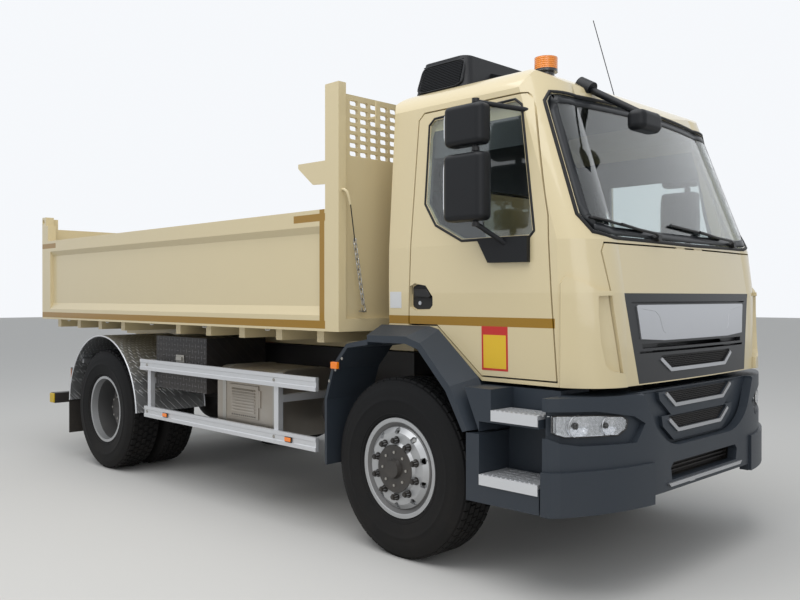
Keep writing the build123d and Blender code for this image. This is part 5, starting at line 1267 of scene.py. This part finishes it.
def foam_pad(name, centre, half, lean, crown):
    """A closed pad that swells in its middle and pulls in between its corners."""
    work = bmesh.new()
    bmesh.ops.create_cube(work, size=2.0)
    bmesh.ops.subdivide_edges(work, edges=work.edges, cuts=9, use_grid_fill=True)
    for vertex in work.verts:
        a, b, c = vertex.co
        soft = 0.82 + 0.18 * (1 - abs(a) ** 4) * (1 - abs(b) ** 4)
        edge = 1 - 0.035 * (1 - a * a) * abs(b) ** 3 - 0.035 * (1 - b * b) * abs(a) ** 3
        swell = 1 + crown * (1 - a * a) * (1 - b * b) - 0.10 * math.exp(-(abs(b) - 0.52) ** 2 / 0.004)
        local = Vector((a * half[0] * edge, b * half[1] * edge,
            c * half[2] * soft * (swell if c > 0 else 1.0)))
        turned_x = local.x * math.cos(lean) - local.z * math.sin(lean)
        turned_z = local.x * math.sin(lean) + local.z * math.cos(lean)
        vertex.co = Vector(centre) + Vector((turned_x, local.y, turned_z))
    mesh = bpy.data.meshes.new(name)
    work.to_mesh(mesh)
    work.free()
    pad = linked(name, mesh)
    # the foam's swell under its cover: a short pressure run, held to 10 mm of the cut shape
    start = [v.co.copy() for v in pad.data.vertices]
    cloth = pad.modifiers.new("cover", "CLOTH")
    cloth.settings.use_pressure = True
    cloth.settings.uniform_pressure_force = 4.0
    cloth.settings.effector_weights.gravity = 0.0
    cloth.settings.quality = 5
    for frame_number in range(1, 21):
        scene.frame_set(frame_number)
    swollen = pad.evaluated_get(bpy.context.evaluated_depsgraph_get()).data
    moved = [v.co.copy() for v in swollen.vertices]
    pad.modifiers.remove(cloth)
    for vertex, before, after in zip(pad.data.vertices, start, moved):
        step = after - before
        vertex.co = before + step * min(1.0, SWELL_MOST / max(step.length, 1e-6))
    scene.frame_set(1)
    smooth = pad.modifiers.new("round", "SUBSURF")
    smooth.levels = 1
    smooth.render_levels = 1
    return pad


for side, word in SIDES:
    middle = side * 0.56
    # columns: name, centre ahead, height, half sizes, lean, crown
    for label, ahead, height, half, lean, crown in (
            ("cushion", 0.205, 1.622, (0.215, 0.232, 0.054), 0.03, 0.10),
            ("back", -0.010, 1.930, (0.305, 0.232, 0.050), math.radians(101), 0.14),
            ("headrest", -0.068, 2.330, (0.096, 0.122, 0.038), math.radians(98), 0.10)):
        pad = foam_pad(f"seat_{label}_{word}", (FRONT_AXLE + ahead, middle, height), half, lean, crown)
        fitted(pad, "cab", seat_cloth, smooth=80)
    plinth = brick((FRONT_AXLE + 0.06, middle - 0.15, 1.4055), (FRONT_AXLE + 0.38, middle + 0.15, 1.48))
    bellows = [brick((FRONT_AXLE + 0.08, middle - 0.14 + 0.006 * k, 1.48 + 0.018 * k),
        (FRONT_AXLE + 0.36, middle + 0.14 - 0.006 * k, 1.492 + 0.018 * k)) for k in range(5)]
    rods = [tube([(FRONT_AXLE - 0.062, rod_y, 2.20), (FRONT_AXLE - 0.072, rod_y, 2.28)], 0.006)
        for rod_y in (middle - 0.05, middle + 0.05)]
    base = joined(plinth, *bellows, *rods)
    stand = mesh_object(f"seat_base_{word}", *base)
    fitted(stand, "cab", dash_grey, smooth=30, bevel=0.003)
    if side == -1:
        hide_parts("seats")

# ---- Tipping body: floor, sides and rear posts --------------------------------------------------
# Welded steel plate in the cab's cream, its floor and inner walls scuffed by loads down to grey primer.
# Gold tape edges the outer panels.
bed_cream = new_material("bed_cream", CREAM, 0.34, coat=0.4, specular=0.4)
tree = bed_cream.node_tree
place, x, y, z = object_axes(tree)
out = abs(y)
on_face = (out > 1.2) * (x < FRONT_AXLE - 0.533)
low_tape = between(z, 1.357, 1.408)
post_tape = between(x, FRONT_AXLE - 0.588, FRONT_AXLE - 0.540) * between(z, 1.357, 2.114)
end_tape = between(z, 2.040, 2.088) * (abs(x + (2.755 - FRONT_AXLE)) > 1.90)
tapes = on_face * calc("MAXIMUM", low_tape, calc("MAXIMUM", post_tape, end_tape))
scuff = node(tree, "ShaderNodeTexNoise", Scale=34.0, Detail=9.0, Roughness=0.7)
stretch = node(tree, "ShaderNodeMapping", Scale=(0.05, 1.0, 1.0))
wire(place, stretch.inputs["Vector"])
wire(stretch.outputs[0], scuff.inputs["Vector"])
within = (out < 1.190) * between(x, FRONT_AXLE - 4.93, FRONT_AXLE - 0.46) * between(z, 1.375, 1.95)
worn = within * (Sum(scuff.outputs["Fac"]) > 0.60)
bed_colour = mixed(worn * 0.40, mixed(tapes, CREAM, GOLD), (0.20, 0.185, 0.165))
dress(bed_cream, bed_colour, dust=0.16, top=2.6, grain=160.0, strength=0.05, wavy=0.08, spread=0.08)
finish_nodes(bed_cream, "bed_floor", "bed_sides", "headboard", "tailgate")
for side, word in SIDES:
    repeated(f"side_hooks_{word}", tube([(-0.022, 0.0, 0.012), (-0.022, side * 0.010, -0.016),
        (0.022, side * 0.010, -0.016), (0.022, 0.0, 0.012)], 0.0042), "bed", "bright_steel", zinc,
        smooth=60, Columns=5, Start=(FRONT_AXLE - 4.35, side * 1.2525, 1.347),
        Column_Step=(0.80, 0, 0))

# ---- Headboard: restraint rod, cable, chain and grab handle -------------------------------------
# A bent rod on the board's edge holds a short cable and a chain of welded links, made fast to a hook
# below; a flat steel handle is welded to the perforated panel.
BOARD_X = FRONT_AXLE - 0.402
rod = tube([(BOARD_X - 0.004, -1.235, 2.228), (BOARD_X + 0.020, -1.235, 2.226),
    (BOARD_X + 0.034, -1.228, 2.214), (BOARD_X + 0.038, -1.214, 2.180), (BOARD_X + 0.038, -1.200, 2.134)],
    0.0095, sides=10)
piece("restraint_rod", rod, "bed", bed_cream, "cream_paint", smooth=60)
cable_top = Vector((BOARD_X + 0.038, -1.200, 2.136))
cable_low = Vector((BOARD_X + 0.034, -1.160, 1.905))
piece("restraint_cable", tube([cable_top.lerp(cable_low, k / 6) for k in range(7)], 0.0035), "bed",
    hub_black, "black_plastic", smooth=60)
hook_top = Vector((BOARD_X + 0.030, -1.088, 1.530))
run = hook_top - cable_low
LINKS = 13
link_line = []
for k in range(20):
    turn = 2 * math.pi * k / 20
    end = 0.0110 if math.sin(turn) > 0 else -0.0110
    link_line.append((0.0105 * math.cos(turn), 0.0, 0.0100 * math.sin(turn) + end))
link_form = tube(link_line, 0.0038, closed=True, sides=7)
repeated("restraint_chain", link_form, "bed", "bright_steel", zinc, smooth=60, Columns=LINKS,
    Start=tuple(cable_low), Column_Step=tuple(run / (LINKS - 1)), Turn=(0, 0, math.pi / 2))
hook_bends = ((0, 0.012), (0.004, -0.010), (0.016, -0.030), (0.020, -0.052), (0.008, -0.066),
    (-0.008, -0.058), (-0.012, -0.040))
hook = tube([hook_top + Vector((0, y, z)) for y, z in hook_bends], 0.0050, sides=10)
eye = joined(hook, brick((BOARD_X - 0.001, -1.096, 1.462), (BOARD_X + 0.026, -1.052, 1.472)),
    tube([(BOARD_X - 0.002, -1.073, 1.467), (BOARD_X + 0.034, -1.073, 1.467)], 0.006))
piece("restraint_hook", eye, "bed", zinc, "bright_steel", smooth=60)
grip = joined(brick((BOARD_X - 0.036, -0.985, 2.700), (BOARD_X + 0.045, -0.979, 2.716)),
    brick((BOARD_X + 0.036, -0.990, 2.640), (BOARD_X + 0.045, -0.955, 2.810)))
piece("board_handle", grip, "bed", bed_cream, "cream_paint", bevel=0.0015)

# ---- Tailgate -----------------------------------------------------------------------------------
# A ribbed sheet steel gate in the body's cream, hung from two pins at its top corners.
# Rows of rivets along its foot and head hold the edge strips.
BODY_REAR = FRONT_AXLE - 4.98
repeated("gate_rivets", prism(hexagon(0.007, 10), "x", -0.0015, 0.0015), "tailgate", "cream_paint",
    bed_cream, smooth=40, Columns=5, Rows=2, Start=(BODY_REAR + 0.002, -1.128, 1.40),
    Column_Step=(0, 0.564, 0), Row_Step=(0, 0, 0.79))

# ---- Hoist ram ----------------------------------------------------------------------------------
# A telescopic tipping ram: a red enamelled steel barrel that swings in a trunnion under the frame, and
# three ground and chromed stages that slide out of it.
ram_red = painted("ram_red", (0.32, 0.012, 0.010), 0.35, coat=0.4, dust=0.6, top=1.9, grain=300.0,
    strength=0.1)
finish_nodes(ram_red, "ram_barrel")
ground_chrome = painted("ground_chrome", (0.55, 0.55, 0.57), 0.12, metallic=1.0, dust=0.1, top=2.0,
    grain=700.0, strength=0.05, spread=0.06)
finish_nodes(ground_chrome, "ram_stage_1", "ram_stage_2", "ram_stage_3")
